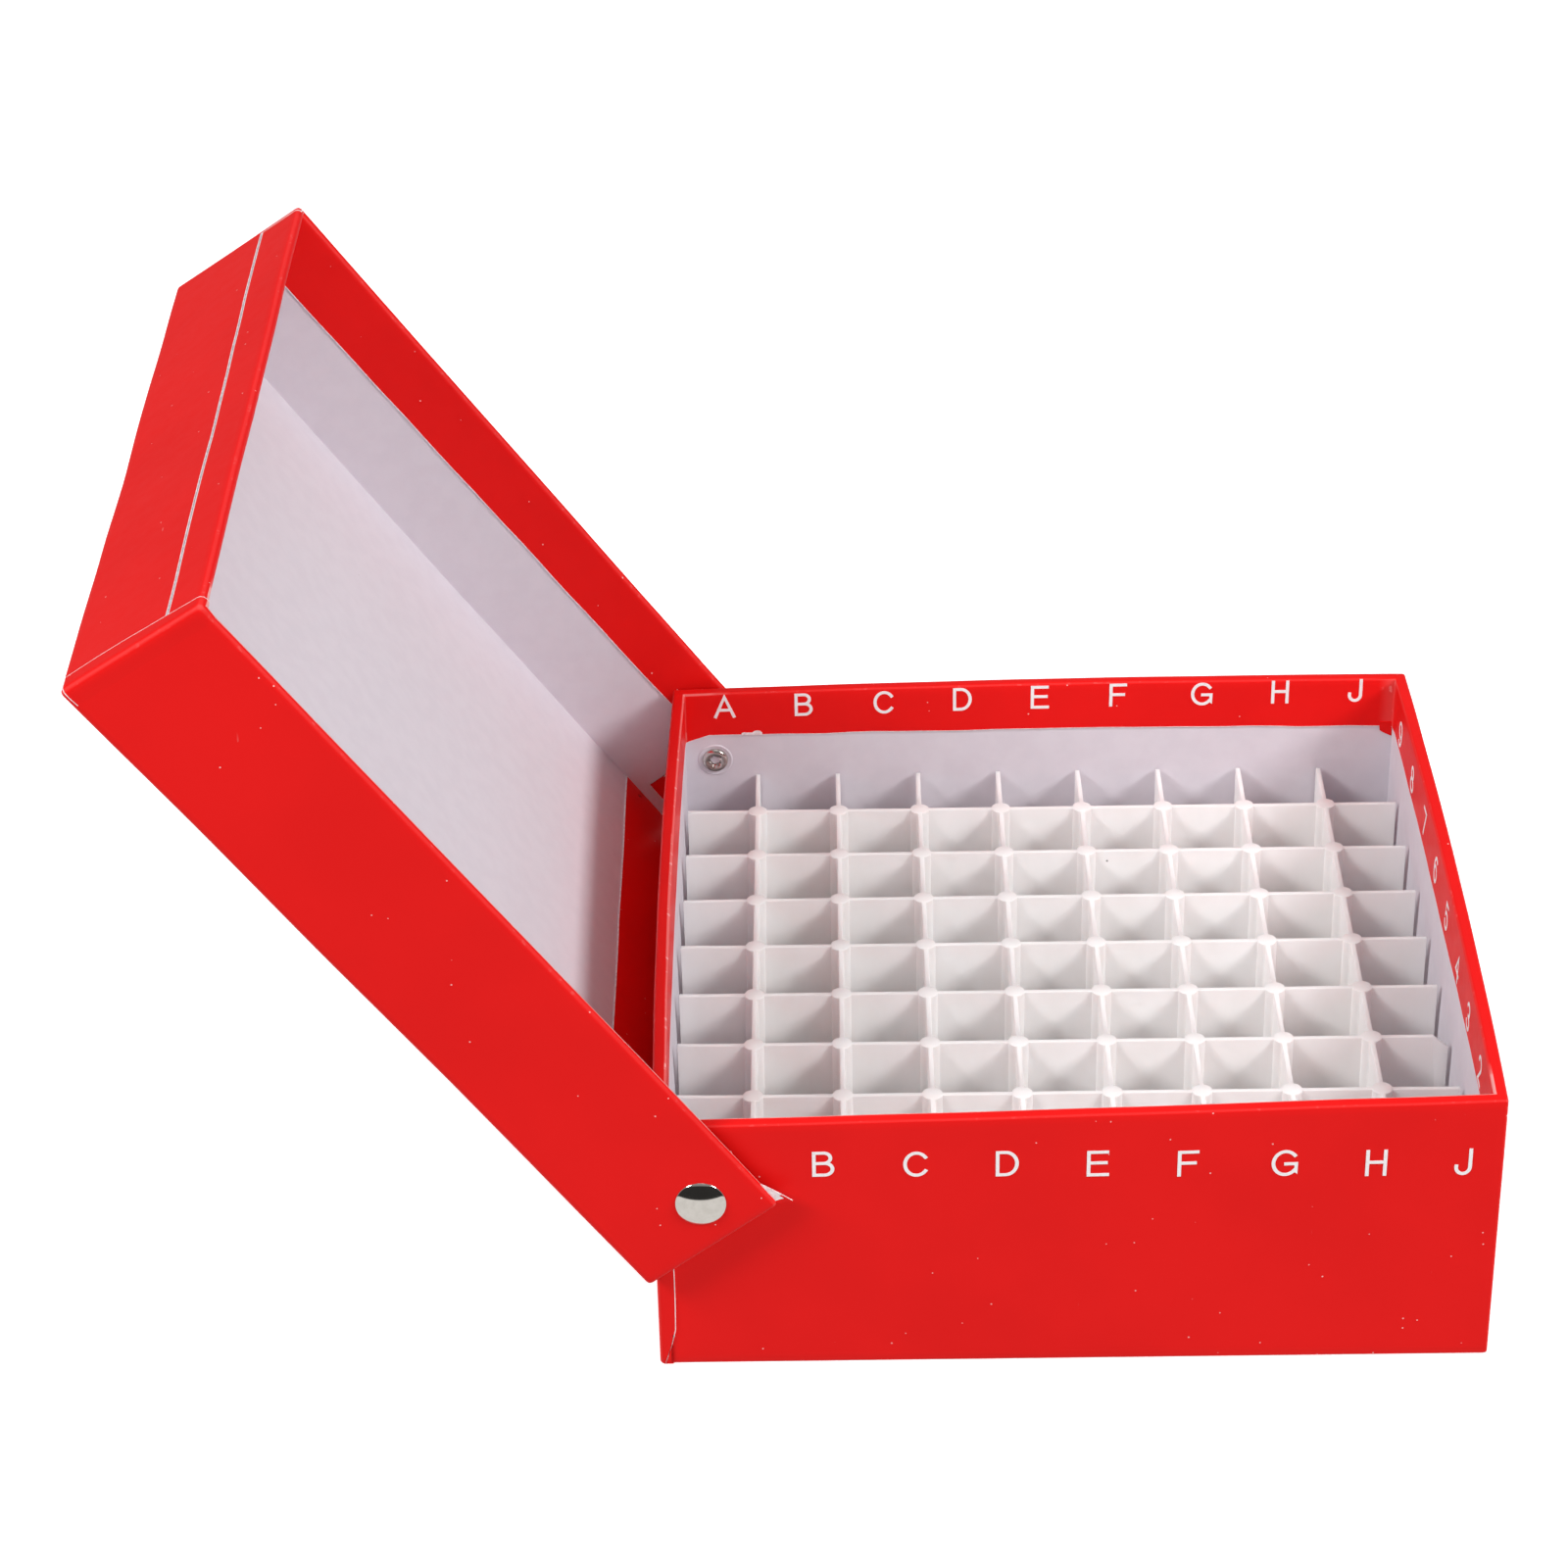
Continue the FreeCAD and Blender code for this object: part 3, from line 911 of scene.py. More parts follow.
@dataclass
class Lettering:
    """Index marks printed in a row on one face of the tray."""

    name: str
    marks: str
    centres: Sequence[Vector]
    along: Vector
    outward: Vector
    cap_height: float = 4.5
    pen: float = 0.58
    ink: float = 0.04

    def make(self, settle: Place, material: bpy.types.Material) -> bpy.types.Object:
        """Lay every stroke down as a thin film of ink.

        Args:
            settle: gives a drawn point's real place, in millimetres.
            material: the ink.

        Returns:
            One object with all the marks.
        """
        mesh = bmesh.new()
        for mark, centre in zip(self.marks, self.centres):
            strokes = strokes_of(mark)
            across = [point[0] for stroke in strokes for point in stroke]
            middle = (min(across) + max(across)) / 2
            for level, stroke in enumerate(strokes):
                line: List[Vector] = []
                for x, y in stroke:
                    spot = Vector((x - middle, y - 0.5)) * self.cap_height
                    if not line or (spot - line[-1]).length > 0.05:
                        line.append(spot)
                self._film(mesh, line, centre, self.ink * (1 + 0.15 * level))
        settle_mesh(mesh, settle)
        return new_piece(self.name, mesh, [material])

    def _film(self, mesh: bmesh.types.BMesh, line: List[Vector], centre: Vector, height: float) -> None:
        """Add one stroke as a flat ribbon of ink.

        Args:
            mesh: the mesh that it is added to.
            line: the stroke's centre line on the face.
            centre: the mark's middle.
            height: the ink's thickness.
        """
        half = self.pen / 2
        rows = []
        for index, point in enumerate(line):
            before = (point - line[index - 1]).normalized() if index else None
            after = (line[index + 1] - point).normalized() if index + 1 < len(line) else None
            heading = ((before or after) + (after or before)).normalized()
            side = Vector((-heading.y, heading.x))
            turn = heading.dot(after or before)
            cap = heading * half * ((after is None) - (before is None)) if turn > 0.99 else Vector((0, 0))
            rows.append([point + cap + side * sign * half / max(turn, 0.45) for sign in (-1, 1)])
        rings = []
        for left, right in rows:
            ring = [self._on_face(centre, spot, depth) for spot, depth in
                    ((left, 0.0), (right, 0.0), (right, height), (left, height))]
            rings.append([mesh.verts.new(place) for place in ring])
        for near, far in zip(rings, rings[1:]):
            for i in range(4):
                mesh.faces.new([near[i], near[(i + 1) % 4], far[(i + 1) % 4], far[i]])
        mesh.faces.new(list(reversed(rings[0])))
        mesh.faces.new(rings[-1])
        bmesh.ops.recalc_face_normals(mesh, faces=mesh.faces)

    def _on_face(self, centre: Vector, spot: Vector, depth: float) -> Vector:
        """Place a point of the drawing on the face."""
        return centre + self.along * spot.x + Vector((0, 0, spot.y)) + self.outward * depth


# ---------------------------------------------------------------- tray

class Corner(Enum):
    """The tray's corners, as seen from above."""

    FRONT_HINGE = (-1, -1)
    FRONT_END = (1, -1)
    BACK_HINGE = (-1, 1)
    BACK_END = (1, 1)


@dataclass
class Tray:
    """The wrapped lower box: lined board, red paper turned in over its rim, and printed index marks."""

    palette: Palette
    paper: float = 0.22
    wall: float = 1.8
    floor_top: float = 1.9
    drawn_rim: float = 50.0
    band: float = 8.9
    step: float = 4.4
    fold_zone: float = 1.5
    lap_width: float = 2.7
    side_bow: float = 0.9
    face_bow: float = 0.3
    back_crown: float = 0.5
    bow_ease: float = 4.0
    wall_ripple: float = 0.12
    rim_wave: float = 0.10
    wrap_box: Tuple[Vector, Vector] = field(default_factory=lambda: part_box("base_wrap_sides"))
    rims: Dict[Corner, float] = field(default_factory=lambda: {
        Corner.FRONT_HINGE: 47.4, Corner.FRONT_END: 50.6, Corner.BACK_HINGE: 48.75, Corner.BACK_END: 50.1})

    @property
    def half(self) -> float:
        """Half of the tray's outer length and width."""
        return self.wrap_box[1].x / MM

    def rim_at(self, x: float, y: float) -> float:
        """Height of the rim above a point: it slopes between the corners and arches along the back.

        Args:
            x: place along the box.
            y: place across the box.

        Returns:
            The rim's height.
        """
        across, along = clamped((x / self.half + 1) / 2), clamped((y / self.half + 1) / 2)
        front = mixed(self.rims[Corner.FRONT_HINGE], self.rims[Corner.FRONT_END], across)
        back = mixed(self.rims[Corner.BACK_HINGE], self.rims[Corner.BACK_END], across)
        crown = self.back_crown * (1 - clamped(abs(x) / self.half) ** 2)
        return mixed(front, back + crown, along)

    def drawn_height(self, x: float, y: float, z: float) -> float:
        """Height at which a point is drawn so that it settles at z."""
        base = self.floor_top
        return base + (z - base) * (self.drawn_rim - base) / (self.rim_at(x, y) - base)

    def settle(self, point: Vector) -> Vector:
        """Give a drawn point its real place: bowed walls, a sloping rim and slightly uneven board.

        Args:
            point: the drawn place.

        Returns:
            The real place, in millimetres.
        """
        x, y, z = point
        rise = clamped((z - self.floor_top) / (self.drawn_rim - self.floor_top), 0.0, 1.05)
        lean = rise ** 1.5
        on_side = clamped((abs(x) - NEAR_WALL) / self.bow_ease)
        on_face = clamped((abs(y) - NEAR_WALL) / self.bow_ease)
        bow_x = self.side_bow * lean * on_side * (1 - clamped(abs(y) / self.half) ** 2)
        bow_y = self.face_bow * lean * on_face * (1 - clamped(abs(x) / self.half) ** 2)
        ripple = noise.noise(Vector((x, y, z)) / 23.0) * self.wall_ripple * lean
        wave = noise.noise(Vector((x, y, 4.0)) / 17.0) * self.rim_wave * rise
        z += rise * (self.rim_at(x, y) - self.drawn_rim) + wave
        return Vector((x + math.copysign(bow_x + ripple * on_side, x),
                       y + math.copysign(bow_y + ripple * on_face, y), z))

    def make_board(self) -> bmesh.types.BMesh:
        """Draw the board box under the paper.

        Returns:
            The mesh, in millimetres.
        """
        outer, inner = self.half - self.paper, self.half - self.paper - self.wall
        rim = self.drawn_rim - self.paper
        flat = spaced(-inner, inner, self.step)
        flat += [side * (outer - self.fold_zone) for side in (-1, 1)] + [self.lap_width - self.half]
        upright = [self.paper + self.fold_zone, 4.2, 6.3, rim - self.band, rim - self.fold_zone]
        upright += spaced(self.floor_top, rim - self.band, 6.0) + spaced(rim - self.band, rim, 3.0)
        return BoardBlank(
            Span(Vector((-outer, -outer, self.paper)), Vector((outer, outer, rim))),
            Span(Vector((-inner, -inner, self.floor_top)), Vector((inner, inner, rim + 1))),
            (flat, flat, upright)).make()

    def is_wrapped(self, centre: Vector, normal: Vector) -> bool:
        """Say whether the red paper covers a face of the board.

        Args:
            centre: the face's middle.
            normal: the way that it faces; not used.

        Returns:
            True outside, underneath and in the band inside the rim.
        """
        outside = max(abs(centre.x), abs(centre.y)) > self.half - self.paper - self.wall + 0.05
        in_band = centre.z > self.drawn_rim - self.paper - self.band
        return outside or in_band or centre.z < self.floor_top - 0.2

    def trim_band(self, point: Vector) -> Vector:
        """Give the turned-in paper its uneven lower edge, longer at the back hinge corner.

        Args:
            point: a point on the paper's cut edge.

        Returns:
            The point's place after the trim.
        """
        x, y, z = point
        sag = noise.noise(Vector((x, y, 0)) / 9.0) * 0.25
        on_back = y > self.half - 3
        if on_back and x < -NEAR_WALL:
            sag -= 1.5 * clamped((-NEAR_WALL - x) / 5) ** 1.5
        if on_back:
            sag -= 0.45 * (x / self.half + 1)
        if x > self.half - 3:
            sag -= 0.8 * clamped(1 - abs(y) / NEAR_WALL)
        return Vector((x, y, z + sag))

    def in_lap(self, centre: Vector, normal: Vector) -> bool:
        """Say whether the hinge wall's paper laps over a face beside the front hinge corner.

        Args:
            centre: the face's middle.
            normal: the way that it faces; not used.

        Returns:
            True where the lap is.
        """
        near_corner = centre.x < self.lap_width - self.half and centre.y < 8 - self.half
        facing_out = max(-centre.x, -centre.y) > self.half - self.paper - 0.9
        return near_corner and facing_out and centre.z < self.drawn_rim - 2 and centre.z > 0.3

    def trim_lap(self, point: Vector) -> Vector:
        """Cut the lap's lower corner at a slant.

        Args:
            point: a point on the lap's cut edge.

        Returns:
            The point's place after the trim.
        """
        x, y, z = point
        if x > self.lap_width - self.half - 0.4 and y < -NEAR_WALL:
            x -= 1.9 * clamped((8.4 - z) / 8) ** 1.3 + 0.25 * noise.noise(Vector((0, 0, z / 5)))
        return Vector((x, y, z))

    def sink_lap(self, point: Vector) -> float:
        """Tuck the lap's hidden end into the wrap, where both are one sheet."""
        return 0.5 * clamped((point.y + self.half - 3) / 3)

    def build(self) -> None:
        """Build and fit every piece of the tray."""
        board = self.make_board()
        wrap = PaperLayer(self.is_wrapped, trim=self.trim_band).make(board)
        lap = PaperLayer(self.in_lap, lift=0.22, thickness=0.2, trim=self.trim_lap,
                         sink=self.sink_lap).make(board)
        red = [self.palette.red_paper, self.palette.raw_edge]
        fit(new_piece("tray_lined_board", settle_mesh(board, self.settle), [self.palette.board]),
            "tray", Slot.LINED_BOARD, "base_floor_board", "base_front_board", "base_back_board",
            "base_hinge_board", "base_end_board", "base_corner_tapes")
        fit(new_piece("tray_red_wrap", settle_mesh(wrap, self.settle), red),
            "tray", Slot.RED_PAPER, "base_wrap_sides", "base_wrap_bottom")
        scraps = [("tray_corner_lap", lap, red),
                  ("tray_band_flake", self.torn_flake(), [self.palette.raw_edge]),
                  ("tray_band_overlap", self.overlap(), red)]
        for name, mesh, materials in scraps:
            fit(new_piece(name, settle_mesh(mesh, self.settle), materials), "tray", Slot.RED_PAPER)
        self.print_marks()

    @property
    def inner_paper(self) -> float:
        """Distance from the middle to the paper's face inside the walls."""
        return self.half - self.paper - self.wall - self.paper

    def torn_flake(self) -> bmesh.types.BMesh:
        """Draw the sliver torn from the paper's edge on the back wall, beside the second column.

        Returns:
            The mesh, in millimetres.
        """
        ragged = [0.15, 0.45, 0.30, 0.35, 0.25, 0.80, 1.00, 0.90, 0.20]
        start, end, low, curl = -54.6, -50.8, 40.75, 0.03
        face, last = self.inner_paper - 0.02, len(ragged) - 1
        return slab([[Vector((mixed(start, end, j / last), face - curl * (i / 2) ** 2,
                              low + (0.40 + 0.60 * height) * i / 2)) for j, height in enumerate(ragged)]
                     for i in range(3)], Vector((0, 0.10, 0)))

    def overlap(self) -> bmesh.types.BMesh:
        """Draw the end wall's paper where it laps onto the back wall under the band.

        Returns:
            The mesh, in millimetres.
        """
        start, corner, top, foot = 62.5, 64.9, 41.0, 39.2
        face = self.inner_paper - 0.12
        return slab([[Vector((mixed(start + 0.2 * i / 3, corner, j / 5), face,
                              mixed(top, foot - 1.2 * (j / 5) ** 0.8, i / 3))) for j in range(6)]
                     for i in range(4)], Vector((0, 0.2, 0)))

    def print_marks(self) -> None:
        """Print the column letters outside and inside, and the row figures inside the end wall."""
        letters = "ABCDEFGHJ"
        outer, inner = self.half + 0.03, self.inner_paper - 0.02
        # The middle of each mark: its place along the wall, and its height.
        front = [(-54.7, 40.1), (-40.2, 40.08), (-25.7, 39.85), (-11.2, 39.82), (3.1, 39.59),
                 (17.3, 39.37), (32.5, 39.14), (46.9, 38.9), (60.6, 38.87)]
        back = [(-57.6, 46.1), (-43.1, 46.35), (-28.5, 46.55), (-14.0, 46.95), (0.2, 47.15),
                (14.5, 47.35), (29.8, 47.4), (44.1, 47.6), (57.8, 47.75)]
        rows = [(54.2, 44.5), (38.8, 44.5), (23.4, 45.1), (8.6, 44.9), (-6.1, 44.8),
                (-20.8, 44.3), (-35.1, 44.4), (-50.2, 44.5)]
        facing_front, facing_hinge = Vector((0, -1, 0)), Vector((-1, 0, 0))
        rails = [
            Lettering("tray_front_letters", letters,
                      [Vector((x, -outer, self.drawn_height(x, -outer, z))) for x, z in front],
                      Vector((1, 0, 0)), facing_front, 4.5),
            Lettering("tray_inner_letters", letters,
                      [Vector((x, inner, self.drawn_height(x, inner, z))) for x, z in back],
                      Vector((1, 0, 0)), facing_front, 4.2),
            Lettering("tray_row_figures", "98765432",
                      [Vector((inner, y, self.drawn_height(inner, y, z))) for y, z in rows],
                      Vector((0, -1, 0)), facing_hinge, 4.6, 0.60),
        ]
        for rail in rails:
            fit(rail.make(self.settle, self.palette.ink), "tray", Slot.RED_PAPER)


# ---------------------------------------------------------------- lid

@dataclass
class Lid:
    """The riveted lid: lined board, red wrap, a bound end rim and lapped corners. Drawn closed."""

    palette: Palette
    paper: float = 0.22
    wall: float = 1.3
    half_width: float = 69.8
    end: float = 70.0
    hinge_end: float = -67.45
    panel_top: float = 51.4
    depth: float = 26.1
    band: float = 9.7
    panel_turn_in: float = 13.8
    cheek_turn_in: float = 10.2
    strip_height: float = 7.6
    seam: float = 0.34
    seam_slant: float = 1.2
    strip_inside: float = 10.0
    tab: float = 4.0
    front_flare: Tuple[float, float, float, float] = (-0.45, 0.85, -0.15, 0.60)
    back_flare: Tuple[float, float, float, float] = (-0.60, 0.65, -0.40, 2.2)
    end_lean: Tuple[float, float] = (1.05, -0.55)
    panel_bulge: Tuple[float, float] = (1.9, 0.75)
    unevenness: float = 0.22
    step: float = 4.6
    fold_zone: float = 1.5
    open_degrees: float = 126.5
    pivot: Vector = field(default_factory=lambda: Vector(
        next(joint for joint in frame["joints"] if joint["name"] == "lid_hinge")["pos_m"]) / MM)

    @property
    def rim(self) -> float:
        """Height of the closed lid's rim."""
        return self.panel_top - self.depth

    def settle(self, point: Vector) -> Vector:
        """Give a drawn point its real place: flared, a little twisted, and turned open.

        Args:
            point: the drawn place on the closed lid.

        Returns:
            The real place, in millimetres.
        """
        x, y, z = point
        along = clamped((x - self.hinge_end) / (self.end - self.hinge_end))
        down = clamped((self.panel_top - z) / self.depth, -0.1, 1.1)
        side = clamped(abs(y) / self.half_width, 0, 1.1)
        flare = self.flare(y, along, down)
        lean = mixed(*self.end_lean, down) * clamped((x - 40) / 26) ** 1.5
        twist = clamped((y + self.half_width) / (2 * self.half_width)) ** 1.6
        bulge = twist * mixed(*self.panel_bulge, along) * (1 - clamped(down))
        uneven = noise.noise(Vector((x, y, z)) / 27.0) * self.unevenness
        on_panel = clamped(1 - down * 6)
        x += lean + uneven * clamped((x - NEAR_WALL) / 6)
        y += math.copysign(flare * side ** 2 + uneven * clamped((side - 0.9) * 12), y)
        z += bulge + uneven * on_panel
        return self.opened(Vector((x, y, z)))

    def flare(self, y: float, along: float, down: float) -> float:
        """How far a cheek stands out from its drawn place.

        Args:
            y: place across the lid, negative on the front cheek.
            along: 0 at the hinge end, 1 at the free end.
            down: 0 at the panel, 1 at the rim.

        Returns:
            Millimetres outwards, from the cheek's values at its hinge and free end, panel and rim.
        """
        hinge_top, free_top, hinge_rim, free_rim = self.front_flare if y < 0 else self.back_flare
        ease = 1.0 if y < 0 else 1.2
        return mixed(mixed(hinge_top, free_top, along), mixed(hinge_rim, free_rim, along ** ease), down)

    def opened(self, point: Vector) -> Vector:
        """Turn a point of the closed lid about the rivets to the open stop."""
        turn = Matrix.Rotation(math.radians(self.open_degrees), 3, Vector((0, -1, 0)))
        return self.pivot + turn @ (point - self.pivot)

    def make_board(self) -> bmesh.types.BMesh:
        """Draw the board cover under the paper, open below and at the hinge end.

        Returns:
            The mesh, in millimetres.
        """
        side, far = self.half_width - self.paper, self.end - self.paper
        low, top, hinge = self.rim + self.paper, self.panel_top - self.paper, self.hinge_end + self.paper
        inner_side, inner_far, inner_top = side - self.wall, far - self.wall, top - self.wall
        across = spaced(-inner_side, inner_side, self.step)
        across += [sign * (side - self.fold_zone) for sign in (-1, 1)]
        across += [sign * (self.half_width - self.tab) for sign in (-1, 1)]
        along = [hinge + self.fold_zone, far - self.fold_zone]
        along += [self.hinge_end + self.panel_turn_in, self.hinge_end + self.cheek_turn_in]
        along += spaced(hinge, inner_far, self.step)
        upright = [low + self.fold_zone, top - self.fold_zone, self.rim + self.strip_height,
                   self.rim + self.strip_height + self.seam, self.rim + self.band,
                   self.rim + self.strip_inside, inner_top - 2.2]
        upright += spaced(low, inner_top, 5.0)
        return BoardBlank(
            Span(Vector((hinge, -side, low)), Vector((far, side, top))),
            Span(Vector((hinge - 1, -inner_side, low - 1)), Vector((inner_far, inner_side, inner_top))),
            (along, across, upright)).make()

    def on_end(self, centre: Vector) -> bool:
        """Say whether a face belongs to the end wall inside its corner folds."""
        inner_far = self.end - self.paper - self.wall
        return centre.x > inner_far - 0.05 and abs(centre.y) < self.half_width - self.fold_zone - self.paper

    def is_outside(self, centre: Vector) -> bool:
        """Say whether a face is on the lid's outer surface or one of its free edges.

        Args:
            centre: the face's middle.

        Returns:
            False on the lining.
        """
        slack = self.paper + self.wall - 0.05
        beyond = abs(centre.y) > self.half_width - slack or centre.x > self.end - slack
        return beyond or centre.z > self.panel_top - slack or centre.x < self.hinge_end + self.paper + 0.4

    def is_wrapped(self, centre: Vector, normal: Vector) -> bool:
        """Say whether the red wrap covers a face of the board.

        Args:
            centre: the face's middle.
            normal: the way that it faces.

        Returns:
            True outside, in the band inside the rim and where the paper turns in at the hinge end.
        """
        if self.on_end(centre) and centre.z < self.rim + self.strip_height + self.seam:
            return False
        if self.is_outside(centre):
            return True
        inner_side = self.half_width - self.paper - self.wall
        on_cheek = abs(normal.y) > 0.5 and abs(centre.y) > inner_side - 0.1
        if on_cheek:
            in_patch = centre.x < self.hinge_end + self.cheek_turn_in and centre.z < self.panel_top - 3.7
            return centre.z < self.rim + self.band or in_patch
        on_panel = abs(normal.z) > 0.5 and centre.z > self.panel_top - 3
        return on_panel and centre.x < self.hinge_end + self.panel_turn_in

    def trim_wrap(self, point: Vector) -> Vector:
        """Give the turned-in paper its uneven edge, deeper towards the free end.

        Args:
            point: a point on the paper's cut edge.

        Returns:
            The point's place after the trim.
        """
        x, y, z = point
        inner_side = self.half_width - self.paper - self.wall
        ragged = noise.noise(Vector((x, y, z)) / 11.0) * 0.18
        if abs(z - self.rim - self.band) < 0.3 and abs(abs(y) - inner_side) < 0.2:
            z += mixed(-0.9, 1.4, clamped((x - self.hinge_end) / (self.end - self.hinge_end))) + ragged
        elif abs(x - self.hinge_end - self.panel_turn_in) < 0.3 and z > self.panel_top - 3:
            x += mixed(0.9, -0.5, (y / self.half_width + 1) / 2) + ragged
        elif abs(x - self.hinge_end - self.cheek_turn_in) < 0.3:
            x -= 4.0 * clamped((z - self.panel_top + 8) / 6) - ragged
        elif abs(z - self.rim - self.strip_height - self.seam) < 0.3 and x > self.end - 1:
            z += self.seam_shift(y)
        return Vector((x, y, z))

    def seam_shift(self, y: float) -> float:
        """How far the end wall's seam stands above its place at the back corner."""
        slant = self.seam_slant * (y / self.half_width - 1) / 2
        return slant + noise.noise(Vector((0, y, 0)) / 16.0) * 0.15

    def in_strip(self, centre: Vector, normal: Vector) -> bool:
        """Say whether the separate strip binds a face of the end wall.

        Args:
            centre: the face's middle.
            normal: the way that it faces; not used.

        Returns:
            True below the strip's edge, inside and outside the wall.
        """
        inner = centre.x < self.end - self.paper - self.wall + 0.05
        height = self.strip_inside if inner else self.strip_height
        inner_face = self.end - self.paper - self.wall - 0.1 < centre.x
        in_folds = abs(centre.y) < self.half_width - self.fold_zone - self.paper
        return inner_face and in_folds and centre.z < self.rim + height

    def trim_strip(self, point: Vector) -> Vector:
        """Slant the strip's outer edge a little, as it was glued.

        Args:
            point: a point on the strip's cut edge.

        Returns:
            The point's place after the trim.
        """
        x, y, z = point
        if z > self.rim + 4 and x > self.end - 1:
            z += self.seam_shift(y)
        return Vector((x, y, z))

    def in_tab(self, centre: Vector, normal: Vector) -> bool:
        """Say whether the front cheek's paper laps over a face beside the free corner.

        Args:
            centre: the face's middle.
            normal: the way that it faces; not used.

        Returns:
            True where the tab is.
        """
        far = self.end - self.paper
        beyond = centre.x > far - 0.7 or abs(centre.y) > self.half_width - self.paper - 0.7
        outside = beyond or centre.z < self.rim + self.paper + 0.7
        near_corner = centre.y < self.tab - self.half_width and centre.x > far - 6
        return near_corner and outside and centre.z < self.panel_top - self.paper - 0.5

    def trim_tab(self, point: Vector) -> Vector:
        """Narrow the tab unevenly towards the rim.

        Args:
            point: a point on the tab's cut edge.

        Returns:
            The point's place after the trim.
        """
        x, y, z = point
        if abs(abs(y) - self.half_width + self.tab) < 0.2 and x > self.end - 3:
            rise = clamped((z - self.rim) / self.depth)
            y += math.copysign(mixed(1.1, -0.5, rise) + noise.noise(Vector((0, 0, z / 6))) * 0.2, y)
        return Vector((x, y, z))

    def sink_tab(self, point: Vector) -> float:
        """Tuck the tab's hidden end into the cheek's wrap, where both are one sheet."""
        return 0.5 * clamped((self.end - 3 - point.x) / 2)

    def build(self) -> None:
        """Build and fit every piece of the lid."""
        board = self.make_board()
        wrap = PaperLayer(self.is_wrapped, trim=self.trim_wrap).make(board)
        strip = PaperLayer(self.in_strip, trim=self.trim_strip).make(board)
        tab = PaperLayer(self.in_tab, lift=0.23, thickness=0.18, trim=self.trim_tab,
                         sink=self.sink_tab).make(board)
        red = [self.palette.red_paper, self.palette.raw_edge]
        fit(new_piece("lid_lined_board", settle_mesh(board, self.settle), [self.palette.board]),
            "lid", Slot.LINED_BOARD, "lid_top_board", "lid_front_board", "lid_back_board",
            "lid_end_board", "lid_corner_tapes")
        papers = [("lid_red_wrap", wrap, red, ["lid_wrap"]), ("lid_rim_strip", strip, red, ["lid_end_strip"]),
                  ("lid_corner_tab", tab, red, []), ("lid_loose_flap", self.loose_flap(), red[::-1], [])]
        for name, mesh, materials, nodes in papers:
            fit(new_piece(name, settle_mesh(mesh, self.settle), materials), "lid", Slot.RED_PAPER, *nodes)

    def loose_flap(self) -> bmesh.types.BMesh:
        """Draw the unglued paper corner that sticks out beyond the front cheek's rim beside the hinge.

        Returns:
            The mesh, in millimetres, with material 1 where its red side is turned out.
        """
        rows, columns, length, reach, curl = 5, 6, 4.6, 2.4, 0.9
        inside = self.rim + 0.8
        grid = []
        for out in (i / rows for i in range(rows + 1)):
            row = []
            for share in (j / columns for j in range(columns + 1)):
                edge = self.rim - 0.1 - reach * share ** 1.1
                x = self.hinge_end + length * (1 - share) - 0.45 * out * share
                y = -self.half_width + 0.75 - curl * (out * share) ** 2
                row.append(Vector((x, y, mixed(inside, edge, out))))
            grid.append(row)
        return slab(grid, Vector((0, self.paper, 0)),
                    lambda row, column: int(column + row > 7 or column == columns - 1))


# ---------------------------------------------------------------- rivets

